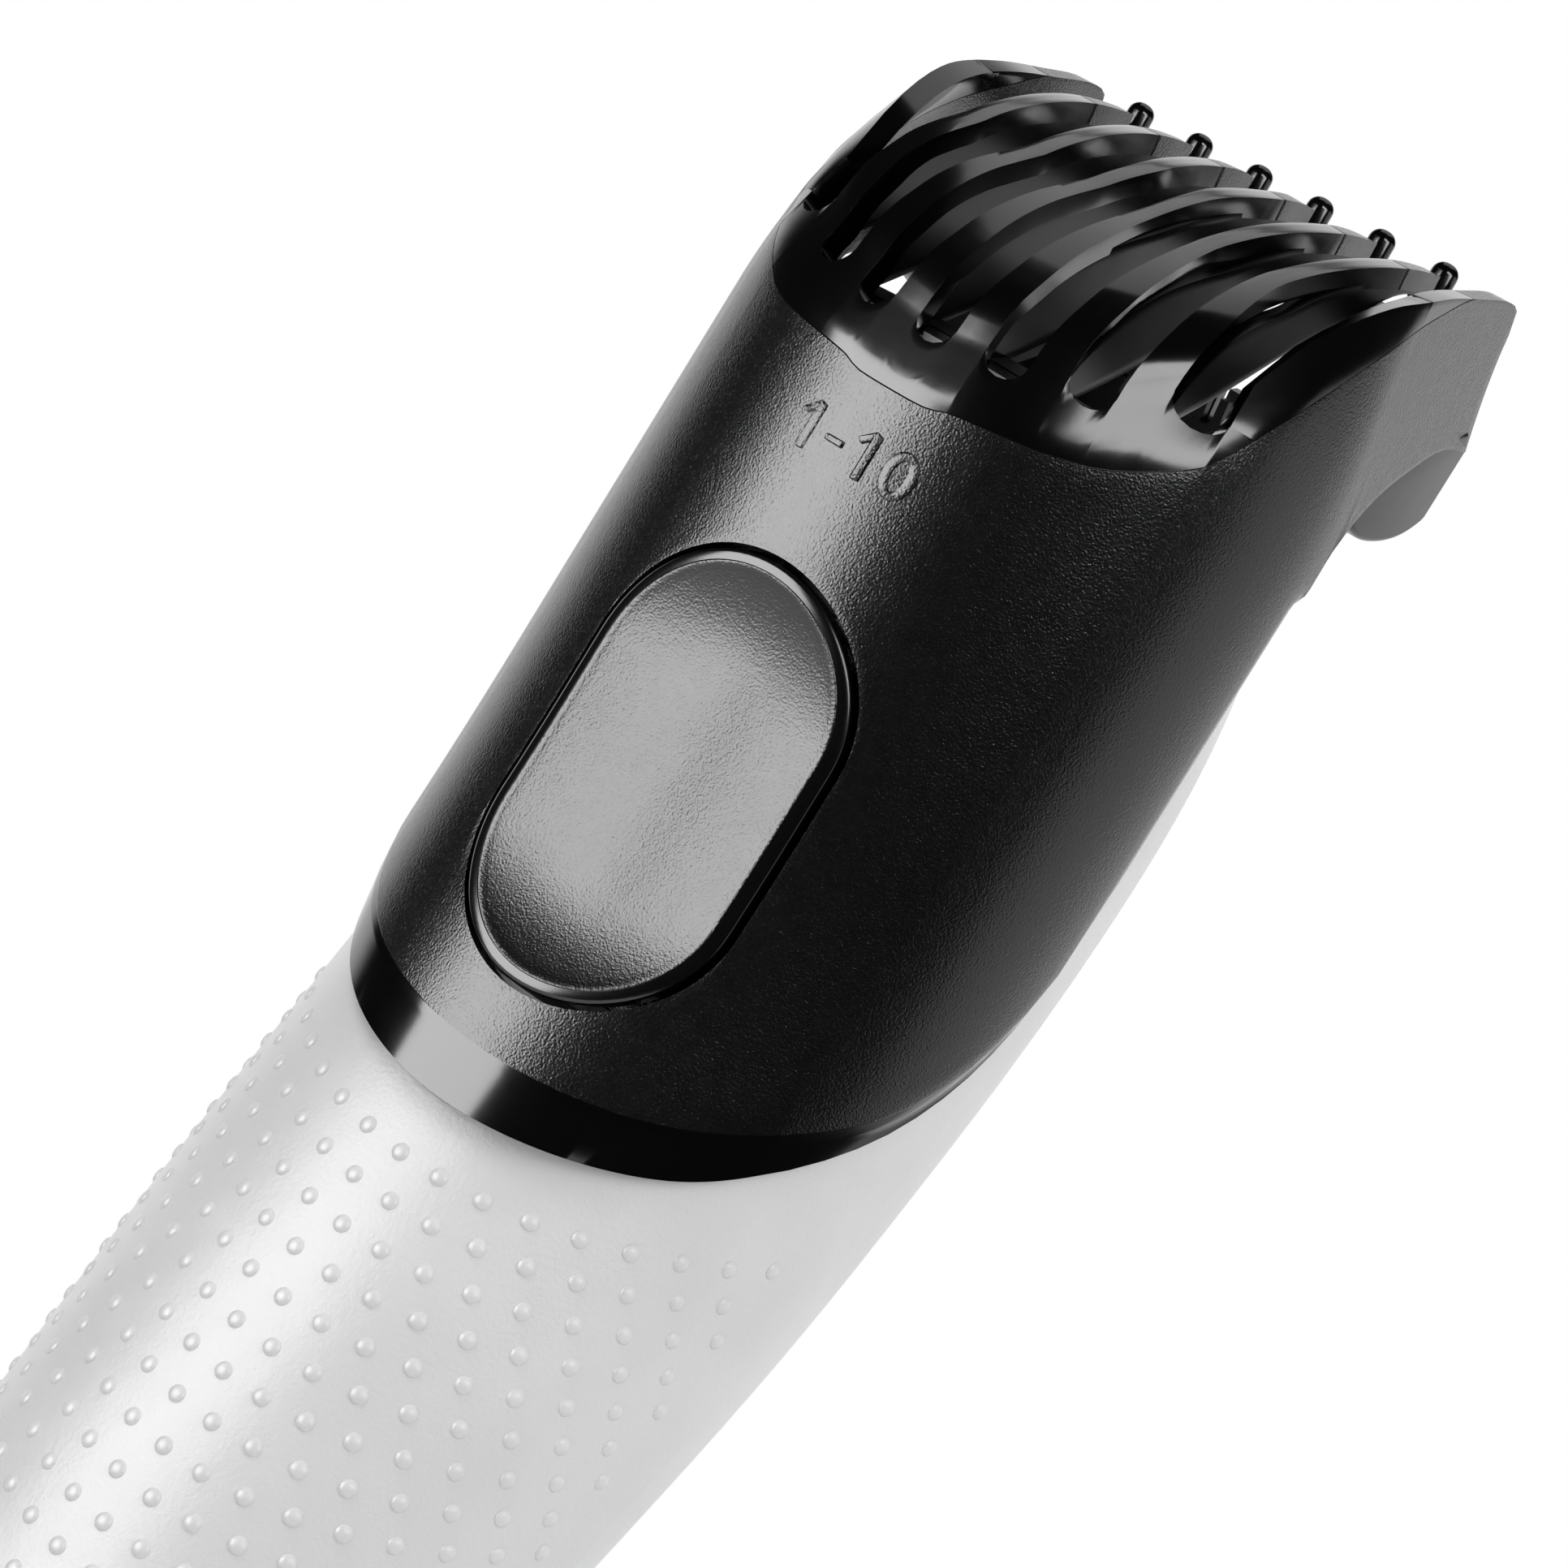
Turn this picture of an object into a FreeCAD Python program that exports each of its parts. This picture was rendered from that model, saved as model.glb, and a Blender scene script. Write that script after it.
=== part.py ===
"""Cordless hair clipper with a sliding guide comb, modelled in millimetres.

The origin is the centre of the flat base, +Z runs up the handle, -Y is the thumb side.
The head leans forward from the neck by HEAD_LEAN, so its pieces are drawn in a head
frame (origin at the neck, z up the head) and placed by to_head().
"""
import FreeCAD, Part

import math
import os

os.makedirs("parts", exist_ok=True)

V = FreeCAD.Vector

# ---- driving dimensions -------------------------------------------------------------
HEAD_LEAN = 18.0            # head axis against the handle axis, degrees
NECK_Y, NECK_Z = 1.8, 101.0
WALL = 2.0                  # housing wall
SEAM_GAP = 0.1              # between the two housing shells
SEAM_DEPTH = 10.0           # seam, measured forward from the back of the housing
BASE_H = 10.0               # height of the base cap

COMB_HALF_W = 20.0
COMB_FRONT = 20.8           # front of the comb from the head axis
COMB_WALL = 1.3
RIM_LOW = -7.0              # lowest point of the comb rim, in the head frame
TOOTH_PITCH = 4.74
TOOTH_T = 1.4
TOOTH_COUNT = 6
SLOT_ROOT = 43.6            # head height of the slot bottoms
WALL_TOP_HALF_W = 16.8      # outer half width of the comb walls at their top

BUTTON_Z = 14.7             # head height of the comb button's centre
BUTTON_L, BUTTON_W = 27.6, 17.0
CHANNEL_HALF_W = 10.0       # recess in the housing under the comb button
CHANNEL_FLOOR = -12.0
CHANNEL_LOW, CHANNEL_HIGH = 0.5, 39.0

MOTOR_Y = 4.5               # motor axis, in the head frame
MOTOR_R, MOTOR_LOW, MOTOR_HIGH = 10.2, 6.0, 30.0
CAM_OFFSET = 0.8            # throw of the eccentric pin, and of the moving blade
BLADE_TIP_Y, BLADE_TIP_Z, BLADE_LEAN = 12.3, 53.0, 20.0
BLADE_HALF_W = 12.5

CELL_R, CELL_L, CELL_Y, CELL_Z = 7.1, 49.0, 4.5, 24.0
BOARD_Y, BOARD_T = -7.6, 1.0
POWER_Z, POWER_R = 38.0, 5.6
LED_Z = 25.0

HEAD = FreeCAD.Placement(V(0, NECK_Y, NECK_Z), FreeCAD.Rotation(V(1, 0, 0), HEAD_LEAN))
BLADE = HEAD.multiply(FreeCAD.Placement(V(0, BLADE_TIP_Y, BLADE_TIP_Z),
                                        FreeCAD.Rotation(V(1, 0, 0), BLADE_LEAN)))

# Housing stations: (front y, front z, back y, back z, half width), handle then head.
HANDLE_STATIONS = [
    (-15.0, BASE_H, 15.6, BASE_H, 16.2),
    (-15.0, 26.0, 15.1, 26.0, 15.9),
    (-15.4, 41.0, 14.8, 41.0, 16.0),
    (-16.2, 56.0, 15.0, 56.0, 16.5),
    (-16.7, 71.0, 16.0, 71.0, 17.3),
    (-16.8, 81.0, 17.4, 81.0, 17.9),
    (-16.8, 89.0, 18.8, 94.6, 18.3),
]
HEAD_STATIONS = [
    (-20.1, 18.5, 0.0, 18.4),
    (-19.2, 21.5, 7.0, 18.4),
    (-18.9, 23.8, 14.0, 18.4),
    (-18.9, 25.2, 22.0, 18.4),
    (-18.9, 24.6, 29.0, 18.4),
    (-18.9, 22.6, 35.0, 18.2),
    (-18.6, 19.8, 40.0, 17.8),
    (-18.0, 17.2, 44.0, 17.2),
]


# ---- small helpers ------------------------------------------------------------------
def save(name, shape):
    """Write one node; a list of shapes becomes a group of separate solids."""
    if isinstance(shape, list):
        shape = Part.makeCompound([s for item in shape for s in item.Solids])
    elif len(shape.Solids) == 1:
        shape = shape.Solids[0]
    print("%-16s solids %d valid %s volume %.1f" % (name, len(shape.Solids), shape.isValid(), shape.Volume))
    shape.exportStep("parts/%s.step" % name)


def placed(shape, placement):
    """Copy of a shape carried from a local frame to the object's frame."""
    out = shape.copy()
    out.Placement = placement.multiply(out.Placement)
    return out


def to_head(shape):
    return placed(shape, HEAD)


def box(x0, x1, y0, y1, z0, z1):
    return Part.makeBox(x1 - x0, y1 - y0, z1 - z0, V(x0, y0, z0))


def cyl(r, length, base, axis=V(0, 0, 1)):
    return Part.makeCylinder(r, length, base, axis)


def ring(r_out, r_in, length, base, axis=V(0, 0, 1)):
    return cyl(r_out, length, base, axis).cut(cyl(r_in, length, base, axis))


def plate_yz(points, half_w, x=0.0):
    """Prism with a YZ outline, centred on x; an outline is points or finished edges."""
    if isinstance(points[0], tuple):
        wire = Part.makePolygon([V(x - half_w, y, z) for y, z in points + points[:1]])
    else:
        wire = Part.Wire(points)
        wire.translate(V(x - half_w, 0, 0))
    return Part.Face(wire).extrude(V(2 * half_w, 0, 0))


def spline_yz(points):
    """Smooth edge through YZ points, drawn at x = 0."""
    curve = Part.BSplineCurve()
    curve.interpolate([V(0, y, z) for y, z in points])
    return curve.toShape()


def line_yz(a, b):
    return Part.makeLine(V(0, *a), V(0, *b))


def tube(points, r):
    """Round lead along a smooth path through the points."""
    curve = Part.BSplineCurve()
    curve.interpolate([V(*p) for p in points])
    path = Part.Wire(curve.toShape())
    start, direction = curve.value(curve.FirstParameter), curve.tangent(curve.FirstParameter)[0]
    profile = Part.Wire(Part.makeCircle(r, start, direction))
    return path.makePipeShell([profile], True, False)


def screw(r, length, head_r, head_h):
    """Screw with its head's outer face at z = 0 and its shank running down -Z."""
    body = cyl(head_r, head_h, V(0, 0, -head_h)).fuse(cyl(r, length, V(0, 0, -length)))
    slot_w, slot_d = head_r * 0.28, head_h * 0.5
    for w, d in ((head_r * 0.75, slot_w / 2), (slot_w / 2, head_r * 0.75)):
        body = body.cut(box(-w, w, -d, d, -slot_d, 0.1))
    return body


def aimed(shape, base, axis):
    """Carry a shape from the origin to base, turning its +Z to the axis."""
    return placed(shape, FreeCAD.Placement(base, FreeCAD.Rotation(V(0, 0, 1), axis)))


# ---- housing ------------------------------------------------------------------------
def head_point(y, z):
    p = HEAD.multVec(V(0, y, z))
    return p.y, p.z


def stations():
    """All housing stations as (front point, back point, half width)."""
    out = [((fy, fz), (by, bz), w) for fy, fz, by, bz, w in HANDLE_STATIONS]
    out += [(head_point(f, z), head_point(b, z), w) for f, b, z, w in HEAD_STATIONS]
    return out


def section(front, back, half_w, inset=0.0, points=12):
    """Elliptic wire between a front and a back point of the YZ plane."""
    f, b = V(0, *front), V(0, *back)
    centre, along = (f + b) * 0.5, (b - f) * 0.5
    half_d = along.Length - inset
    along.normalize()
    ring_points = [centre + V((half_w - inset) * math.cos(a), 0, 0) + along * (half_d * math.sin(a))
                   for a in (2 * math.pi * k / points for k in range(points))]
    curve = Part.BSplineCurve()
    curve.interpolate(ring_points, PeriodicFlag=True)
    return Part.Wire(curve.toShape())


def loft(rows, inset=0.0):
    return Part.makeLoft([section(f, b, w, inset) for f, b, w in rows], True, False)


def moved_station(row, dy, dz):
    (fy, fz), (by, bz), w = row
    return (fy + dy, fz + dz), (by + dy, bz + dz), w


def cavity():
    """Inner space of the housing, open at the base and at the top of the head."""
    rows = stations()
    up = HEAD.Rotation.multVec(V(0, 0, 1))
    top = moved_station(rows[-1], up.y, up.z)
    bottom = moved_station(rows[0], 0, -1)
    return loft([bottom] + rows + [top], WALL)


def channel(grow=0.0):
    """Recess for the latch under the comb button, in the head frame."""
    w = CHANNEL_HALF_W + grow
    return to_head(box(-w, w, -26, CHANNEL_FLOOR + grow, CHANNEL_LOW - grow, CHANNEL_HIGH + grow))


def seam_region(gap):
    """Everything behind the seam between the two shells."""
    rows = stations()
    seam = [(back[0] - SEAM_DEPTH + gap, back[1]) for _, back, _ in rows]
    first, last = (seam[0][0], -5.0), (seam[-1][0] - 2.0, seam[-1][1] + 9.0)
    curve = spline_yz([first] + seam + [last])
    far = 60.0
    edges = [curve, line_yz(last, (far, last[1])), line_yz((far, last[1]), (far, first[1])),
             line_yz((far, first[1]), first)]
    return plate_yz(edges, 30)


CASE_SCREWS = [(V(x, 8.4, 16.0), V(0, 1, 0)) for x in (-10.2, 10.2)]
CASE_SCREWS += [(HEAD.multVec(V(x, 14.6, 38.0)), HEAD.Rotation.multVec(V(0, 1, 0))) for x in (-9.5, 9.5)]


def make_housing():
    outer = loft(stations())
    inner = cavity()
    wall = outer.cut(inner)
    pocket = channel()
    lining = channel(1.2).common(outer).cut(pocket)
    wall = wall.cut(pocket).fuse(lining)
    back_region, front_region = seam_region(SEAM_GAP / 2), seam_region(-SEAM_GAP / 2)
    rear = wall.common(back_region)
    front = wall.cut(front_region)
    for base, axis in CASE_SCREWS:
        seat = base - axis * 2.0
        boss = cyl(2.3, 24.0, seat - axis * 24.0, axis).common(outer)
        front = front.fuse(boss.cut(back_region).cut(pocket))
        front = front.cut(cyl(0.95, 7.0, seat - axis * 7.0, axis))
        post = cyl(2.9, 14.0, seat, axis).common(outer)
        rear = rear.fuse(post)
        rear = rear.cut(cyl(2.35, 14.0, base, axis)).cut(cyl(1.2, 2.5, seat - axis * 0.2, axis))
        front = front.cut(cyl(3.0, 14.0, seat - axis * 0.05, axis).common(outer))
    front = front.cut(cyl(POWER_R + 0.25, 8, V(0, -20, POWER_Z), V(0, 1, 0)))
    front = front.cut(cyl(1.55, 8, V(0, -20, LED_Z), V(0, 1, 0)))
    return front, rear


def make_base_cap():
    low = section((-12.6, 0), (13.2, 0), 13.8)
    mid = section((-14.4, 2.2), (15.0, 2.2), 15.6)
    top = section((-15.0, BASE_H - 0.1), (15.6, BASE_H - 0.1), 16.2)
    cap = Part.makeLoft([low, mid, top], True, False)
    hollow = Part.makeLoft([section((-12.4, 2.4), (13.0, 2.4), 13.6),
                            section((-12.4, BASE_H), (13.0, BASE_H), 13.6)], True, False)
    spigot = loft([moved_station(stations()[0], 0, -1.0), moved_station(stations()[0], 0, 2.5)], WALL + 0.1)
    bore = loft([moved_station(stations()[0], 0, -1.0), moved_station(stations()[0], 0, 2.5)], WALL + 1.4)
    cap = cap.cut(hollow).fuse(spigot.cut(bore))
    return cap.cut(cyl(4.8, 6, V(0, 0, -1))).removeSplitter()


# ---- power and control --------------------------------------------------------------
def make_socket():
    body = cyl(4.6, 11.2, V(0, 0, 0.6)).fuse(ring(6.2, 4.4, 1.2, V(0, 0, 2.5)))
    body = body.cut(cyl(2.8, 9.0, V(0, 0, 0.5)))
    pin = cyl(0.65, 8.6, V(0, 0, 2.0)).fuse(cyl(0.5, 3.0, V(0, 0, 10.4)))
    body = body.cut(cyl(0.66, 4.0, V(0, 0, 9.4)))
    gasket = ring(6.2, 4.65, 0.8, V(0, 0, 3.75))
    return body, pin.cut(cyl(0.3, 0.4, V(0, 0, 1.9))), gasket


def make_chassis():
    front, back, low, high = -4.9, -3.5, 21.0, 77.0
    half_w = 10.0
    tray = box(-half_w, half_w, front, back, low, high)
    for z in (28.0, 46.0, 64.0):
        tray = tray.fuse(box(-8.6, 8.6, back, 2.0, z, z + 2.0))
    tray = tray.fuse(box(-8.0, 8.0, back, 6.0, low, low + 1.4))
    tray = tray.fuse(box(-8.0, 8.0, back, 6.0, CELL_Z + CELL_L + 1.6, CELL_Z + CELL_L + 3.0))
    tray = tray.cut(cyl(CELL_R + 0.15, CELL_L + 1.4, V(0, CELL_Y, CELL_Z - 0.8)))
    for x, z in BOARD_SCREWS:
        post = cyl(1.9, front - BOARD_Y - BOARD_T, V(x, BOARD_Y + BOARD_T, z), V(0, 1, 0))
        tray = tray.fuse(post).cut(cyl(0.75, 5, V(x, BOARD_Y, z), V(0, 1, 0)))
    return tray


BOARD_SCREWS = [(-5.4, 31.0), (5.4, 70.0)]


def make_board():
    board = box(-8.0, 8.0, BOARD_Y, BOARD_Y + BOARD_T, 21.5, 76.5)
    for x, z in BOARD_SCREWS:
        board = board.cut(cyl(1.0, 3, V(x, BOARD_Y - 1, z), V(0, 1, 0)))
    top = BOARD_Y
    parts = [box(-2.6, 2.6, top - 1.4, top, 52.0, 57.2), box(-6.6, -4.6, top - 1.2, top, 46.0, 49.0),
             box(4.0, 6.6, top - 1.2, top, 45.0, 48.2), cyl(2.4, 3.6, V(4.2, top - 3.6, 61.0), V(0, 1, 0)),
             box(-6.4, -3.2, top - 2.0, top, 60.0, 66.0)]
    screws = [aimed(screw(0.75, 4.2, 1.7, 0.9), V(x, top - 0.9, z), V(0, -1, 0)) for x, z in BOARD_SCREWS]
    led = box(-1.1, 1.1, top - 1.2, top, LED_Z - 1.1, LED_Z + 1.1)
    guide = cyl(1.5, 4.5, V(0, -14.9, LED_Z), V(0, 1, 0)).fuse(cyl(2.4, 0.8, V(0, -12.6, LED_Z), V(0, 1, 0)))
    switch = box(-3.0, 3.0, top - 2.0, top, POWER_Z - 3.0, POWER_Z + 3.0)
    switch = switch.fuse(cyl(1.5, 0.4, V(0, top - 2.4, POWER_Z), V(0, 1, 0)))
    return board, parts, screws, led, guide, switch


def make_power_button():
    front = -16.1
    cap = cyl(POWER_R, 5.0, V(0, front, POWER_Z), V(0, 1, 0))
    cap = cap.makeFillet(0.5, [e for e in cap.Edges if abs(e.CenterOfMass.y - front) < 0.01])
    dish = Part.makeSphere(24.0, V(0, front - 23.5, POWER_Z))
    flange = cyl(POWER_R + 0.9, 0.7, V(0, -11.5, POWER_Z), V(0, 1, 0))
    cap = cap.fuse(flange).cut(dish)
    pad = cyl(1.9, 0.7, V(0, -10.75, POWER_Z), V(0, 1, 0))
    return cap, pad


def make_battery():
    cell = cyl(CELL_R, CELL_L, V(0, CELL_Y, CELL_Z))
    edge = [e for e in cell.Edges if e.Curve.TypeId == "Part::GeomCircle"]
    cell = cell.makeFillet(0.6, edge)
    nub = cyl(2.6, 0.8, V(0, CELL_Y, CELL_Z + CELL_L))
    tabs = [box(-2.2, 2.2, CELL_Y - 3.5, CELL_Y + 2.5, CELL_Z + CELL_L + 0.85, CELL_Z + CELL_L + 1.1),
            box(-2.2, 2.2, CELL_Y - 3.5, CELL_Y + 2.5, CELL_Z - 0.3, CELL_Z - 0.05)]
    pad = box(-3.0, 3.0, CELL_Y + CELL_R + 0.05, CELL_Y + CELL_R + 0.5, CELL_Z + 12, CELL_Z + 36)
    return cell.fuse(nub), tabs, pad


def make_leads():
    """Wire leads: battery, charging socket and motor, each held at both ends."""
    r = 0.5
    top, low = CELL_Z + CELL_L + 1.65, CELL_Z - 0.85
    battery = [tube([(1.2, 8.2, top + 3.6), (9.8, 4.0, top + 1.5), (11.9, -4.0, 74.0), (9.4, -8.6, 72.0),
                     (6.2, BOARD_Y - 0.55, 73.5)], r),
               tube([(-1.2, 9.0, low - 3.0), (-10.4, 5.0, 20.6), (-11.9, -4.0, 25.0), (-9.6, -8.2, 27.0),
                     (-6.4, BOARD_Y - 0.55, 27.5)], r)]
    socket = [tube([(x, 0.0, 12.6), (x * 1.2, -3.5, 15.5), (x * 1.6, -6.6, 18.0), (x * 1.8, BOARD_Y - 0.55, 23.0)], r)
              for x in (-2.2, 2.2)]
    end = HEAD.multVec(V(0, MOTOR_Y, MOTOR_LOW - 4.6))
    motor = [tube([(x, BOARD_Y - 0.55, 75.5), (x * 1.2, -9.0, 81.0), (x * 1.6, -3.0, 92.0),
                   (x * 1.7, end.y - 1.5, end.z - 3.0), (x * 1.7, end.y, end.z)], r) for x in (-3.0, 3.0)]
    return battery, socket, motor


# ---- motor and drive ----------------------------------------------------------------
def make_motor():
    axis_low = V(0, MOTOR_Y, MOTOR_LOW)
    length = MOTOR_HIGH - MOTOR_LOW
    case = cyl(MOTOR_R, length, axis_low)
    case = case.common(box(-20, 20, MOTOR_Y - 7.8, MOTOR_Y + 7.8, 0, 60))
    case = case.fuse(cyl(3.1, 1.5, V(0, MOTOR_Y, MOTOR_HIGH)))
    case = case.cut(cyl(MOTOR_R - 1.0, length - 1.0, axis_low).common(
        box(-20, 20, MOTOR_Y - 6.8, MOTOR_Y + 6.8, 0, 60)))
    case = case.cut(cyl(1.05, 6, V(0, MOTOR_Y, MOTOR_HIGH - 2)))
    bell = cyl(MOTOR_R - 0.3, 2.4, V(0, MOTOR_Y, MOTOR_LOW - 2.45))
    bell = bell.common(box(-20, 20, MOTOR_Y - 7.6, MOTOR_Y + 7.6, 0, 60))
    bell = bell.fuse(cyl(2.8, 0.8, V(0, MOTOR_Y, MOTOR_LOW - 3.2)))
    bell = bell.cut(cyl(1.05, 2.2, V(0, MOTOR_Y, MOTOR_LOW - 1.8)))
    tabs = [box(x - 0.9, x + 0.9, MOTOR_Y - 0.2, MOTOR_Y + 0.2, MOTOR_LOW - 4.0, MOTOR_LOW - 2.5)
            for x in (-5.1, 5.1)]
    bracket = box(-13.6, 13.6, MOTOR_Y - 6.4, MOTOR_Y + 6.0, MOTOR_HIGH + 0.05, MOTOR_HIGH + 1.85)
    bracket = bracket.cut(cyl(3.15, 4, V(0, MOTOR_Y, MOTOR_HIGH - 1)))
    screws = []
    for x in (-6.0, 6.0):
        spot = V(x, MOTOR_Y, MOTOR_HIGH + 2.75)
        bracket = bracket.cut(cyl(1.05, 4, V(x, MOTOR_Y, MOTOR_HIGH - 1)))
        case = case.cut(cyl(1.0, 3, V(x, MOTOR_Y, MOTOR_HIGH - 2)))
        screws.append(aimed(screw(1.0, 3.9, 1.9, 0.9), spot, V(0, 0, 1)))
    return [to_head(case), to_head(bell), [to_head(t) for t in tabs], to_head(bracket),
            [to_head(s) for s in screws]]


def make_rotor():
    shaft = cyl(1.0, MOTOR_HIGH + 8.1 - MOTOR_LOW, V(0, MOTOR_Y, MOTOR_LOW - 1.2))
    core = cyl(7.0 - 0.6, 16.0, V(0, MOTOR_Y, MOTOR_LOW + 3.5))
    core = core.cut(cyl(1.0, 40, V(0, MOTOR_Y, 0)))
    cam = cyl(3.4, 3.6, V(0, MOTOR_Y, MOTOR_HIGH + 3.4)).cut(cyl(1.0, 20, V(0, MOTOR_Y, 17.8)))
    cam = cam.fuse(cyl(1.0, 5.4, V(CAM_OFFSET, MOTOR_Y, MOTOR_HIGH + 7.0)))
    return to_head(shaft), to_head(core), to_head(cam)


def blade_teeth(half_w, root, tip, pitch, width, y0, y1):
    """Row of flat teeth from root to tip along z, across x."""
    count = int(half_w * 2 / pitch)
    start = -(count - 1) / 2 * pitch
    return [box(start + i * pitch - width / 2, start + i * pitch + width / 2, y0, y1, root, tip)
            for i in range(count)]


def make_blades():
    """Both blades are drawn in the blade frame: z = 0 at the tips, +y outward."""
    fixed = box(-BLADE_HALF_W, BLADE_HALF_W, -0.55, 0.55, -7.4, -2.4)
    fixed = fixed.fuse(blade_teeth(BLADE_HALF_W, -2.5, 0.0, 1.3, 0.75, -0.55, 0.55))
    moving = box(-11.3, 11.3, -1.45, -0.62, -4.6, -2.6)
    moving = moving.fuse(blade_teeth(11.3, -2.7, -0.6, 1.3, 0.6, -1.45, -0.62))
    moving = moving.fuse(box(-3.6, 3.6, -1.45, -0.62, -6.8, -4.5))
    screws = []
    for x in (-8.8, 8.8):
        fixed = fixed.cut(cyl(1.05, 4, V(x, -2, -6.0), V(0, 1, 0)))
        screws.append(aimed(screw(0.9, 4.6, 1.8, 0.9), V(x, 1.5, -6.0), V(0, 1, 0)))
    return (placed(fixed.removeSplitter(), BLADE), placed(moving.removeSplitter(), BLADE),
            [placed(s, BLADE) for s in screws])


def make_fork():
    slot_x, slot_y = 2.75, 2.0
    eye = box(-4.4, 4.4, MOTOR_Y - 3.4, MOTOR_Y + 3.4, 38.6, 42.0)
    eye = eye.cut(box(-slot_x, slot_x, MOTOR_Y - slot_y, MOTOR_Y + slot_y, 38, 43))
    bridge = box(-4.4, 4.4, MOTOR_Y + 2.0, MOTOR_Y + 3.4, 41.5, 44.0)
    arm = plate_yz([(6.5, 42.6), (8.0, 42.0), (13.2, 45.9), (12.55, 47.7), (6.5, 44.2)], 2.2)
    front_face = placed(box(-9, 9, -1.5, 6, -12, 2), FreeCAD.Placement(
        V(0, BLADE_TIP_Y, BLADE_TIP_Z), FreeCAD.Rotation(V(1, 0, 0), BLADE_LEAN)))
    return to_head(eye.fuse(bridge).fuse(arm).cut(front_face).removeSplitter())


def make_head_base():
    top_row = stations()[-1]
    up = HEAD.Rotation.multVec(V(0, 0, 1))
    low = moved_station(top_row, up.y * 0.5, up.z * 0.5)
    (fy, fz), (by, bz), w = moved_station(top_row, up.y * 1.3, up.z * 1.3)
    high_small = ((fy + 2.0, fz + 0.6), (by - 0.8, bz - 0.25), w - 1.0)
    flange = Part.makeLoft([section(*low), section(*high_small)], True, False)
    plug_low = moved_station(top_row, -up.y * 2.6, -up.z * 2.6)
    plug = loft([plug_low, low], WALL + 0.25).cut(loft([plug_low, low], WALL + 1.8))
    nose = plate_yz([(1.2, 44.8), (7.4, 48.2), (10.5, 49.9), (11.75, 49.6), (13.45, 44.9)], 12.9)
    base = flange.fuse(plug).fuse(to_head(nose))
    base = base.cut(to_head(box(-5.8, 5.8, 0.4, 16.0, 40.0, 51.0)))
    for x in (-8.8, 8.8):
        hole = cyl(0.95, 5, V(x, -4.5, -6.0), V(0, 1, 0))
        base = base.cut(placed(hole, BLADE))
    seal_rows = [moved_station(top_row, up.y * k, up.z * k) for k in (0.05, 0.45)]
    seal = loft(seal_rows, 0.35).cut(loft(seal_rows, WALL + 0.1))
    return base.removeSplitter(), seal


# ---- comb and its latch -------------------------------------------------------------
def comb_front(z):
    """Front of the comb at a head height: it flares out towards the rim."""
    return -(COMB_FRONT + 0.00527 * max(0.0, 16.0 - z) ** 2)


def comb_half_w(z):
    """Half width of the comb: straight, then drawn in towards the top of its walls."""
    start, end = 42.0, 66.0
    t = min(1.0, max(0.0, (z - start) / (end - start)))
    return COMB_HALF_W - (COMB_HALF_W - WALL_TOP_HALF_W) * t * t * (3 - 2 * t)


def comb_section(z, inset, back=30.0):
    """U-shaped wire: half an ellipse in front, straight sides behind it."""
    w, f = comb_half_w(z) - inset, comb_front(z) + inset
    quarter = [V(w * math.cos(a), f * math.sin(a), z) for a in (math.pi * k / 12 for k in range(13))]
    curve = Part.BSplineCurve()
    curve.interpolate(quarter, InitialTangent=V(0, -1, 0), FinalTangent=V(0, 1, 0))
    right, left = V(w, back, z), V(-w, back, z)
    return Part.Wire([curve.toShape(), Part.makeLine(quarter[-1], left), Part.makeLine(left, right),
                      Part.makeLine(right, quarter[0])])


def comb_tube(inset):
    heights = (-9, -4, 2, 8, 16, 30, 42, 48, 54, 60, 66, 70)
    return Part.makeLoft([comb_section(z, inset) for z in heights], True, False)


VAULT = [(-20.9, 42.0), (-20.4, 46.4), (-18.3, 50.2), (-13.4, 54.4), (-4.6, 59.4), (2.9, 62.7),
         (9.0, 64.7), (13.7, 66.1), (16.6, 66.4)]
WEB_EDGE = [(-21.5, 43.2), (-16.2, 46.9), (-10.2, 50.4), (-5.7, 53.2), (-2.0, 55.6), (1.5, 57.8),
            (5.0, 60.4), (8.0, 62.3), (11.2, 63.1)]
TOOTH_END = [(12.4, 62.2), (13.1, 63.3), (12.7, 64.9)]


def side_profile():
    """Outline of the whole comb in the YZ plane, as a prism to intersect with."""
    far = -32.0
    rim = spline_yz([(-24.0, RIM_LOW), (-17.0, -3.7), (-11.5, 0.3), (-6.4, 5.0), (-2.2, 10.4),
                     (0.2, 16.0), (0.8, 23.0)])
    lip = spline_yz([(0.8, 42.0), (1.6, 46.6), (4.6, 50.2), (9.3, 53.4), (14.6, 56.2), (19.6, 57.4)])
    vault = spline_yz(VAULT)
    edges = [line_yz((far, RIM_LOW), (-24.0, RIM_LOW)), rim, line_yz((0.8, 23.0), (0.8, 42.0)), lip,
             line_yz((19.6, 57.4), (17.0, 65.6)), line_yz((17.0, 65.6), VAULT[-1]), vault,
             line_yz(VAULT[0], (far, 42.0)), line_yz((far, 42.0), (far, RIM_LOW))]
    return plate_yz(Part.sortEdges(edges)[0], 30)


def tooth_region():
    """YZ region of a tooth: between the vault and the lower edge of its web."""
    edges = [spline_yz(VAULT[:7] + [TOOTH_END[2]]), spline_yz(WEB_EDGE),
             spline_yz([WEB_EDGE[-1]] + TOOTH_END), line_yz(VAULT[0], WEB_EDGE[0])]
    return Part.sortEdges(edges)[0]


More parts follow.
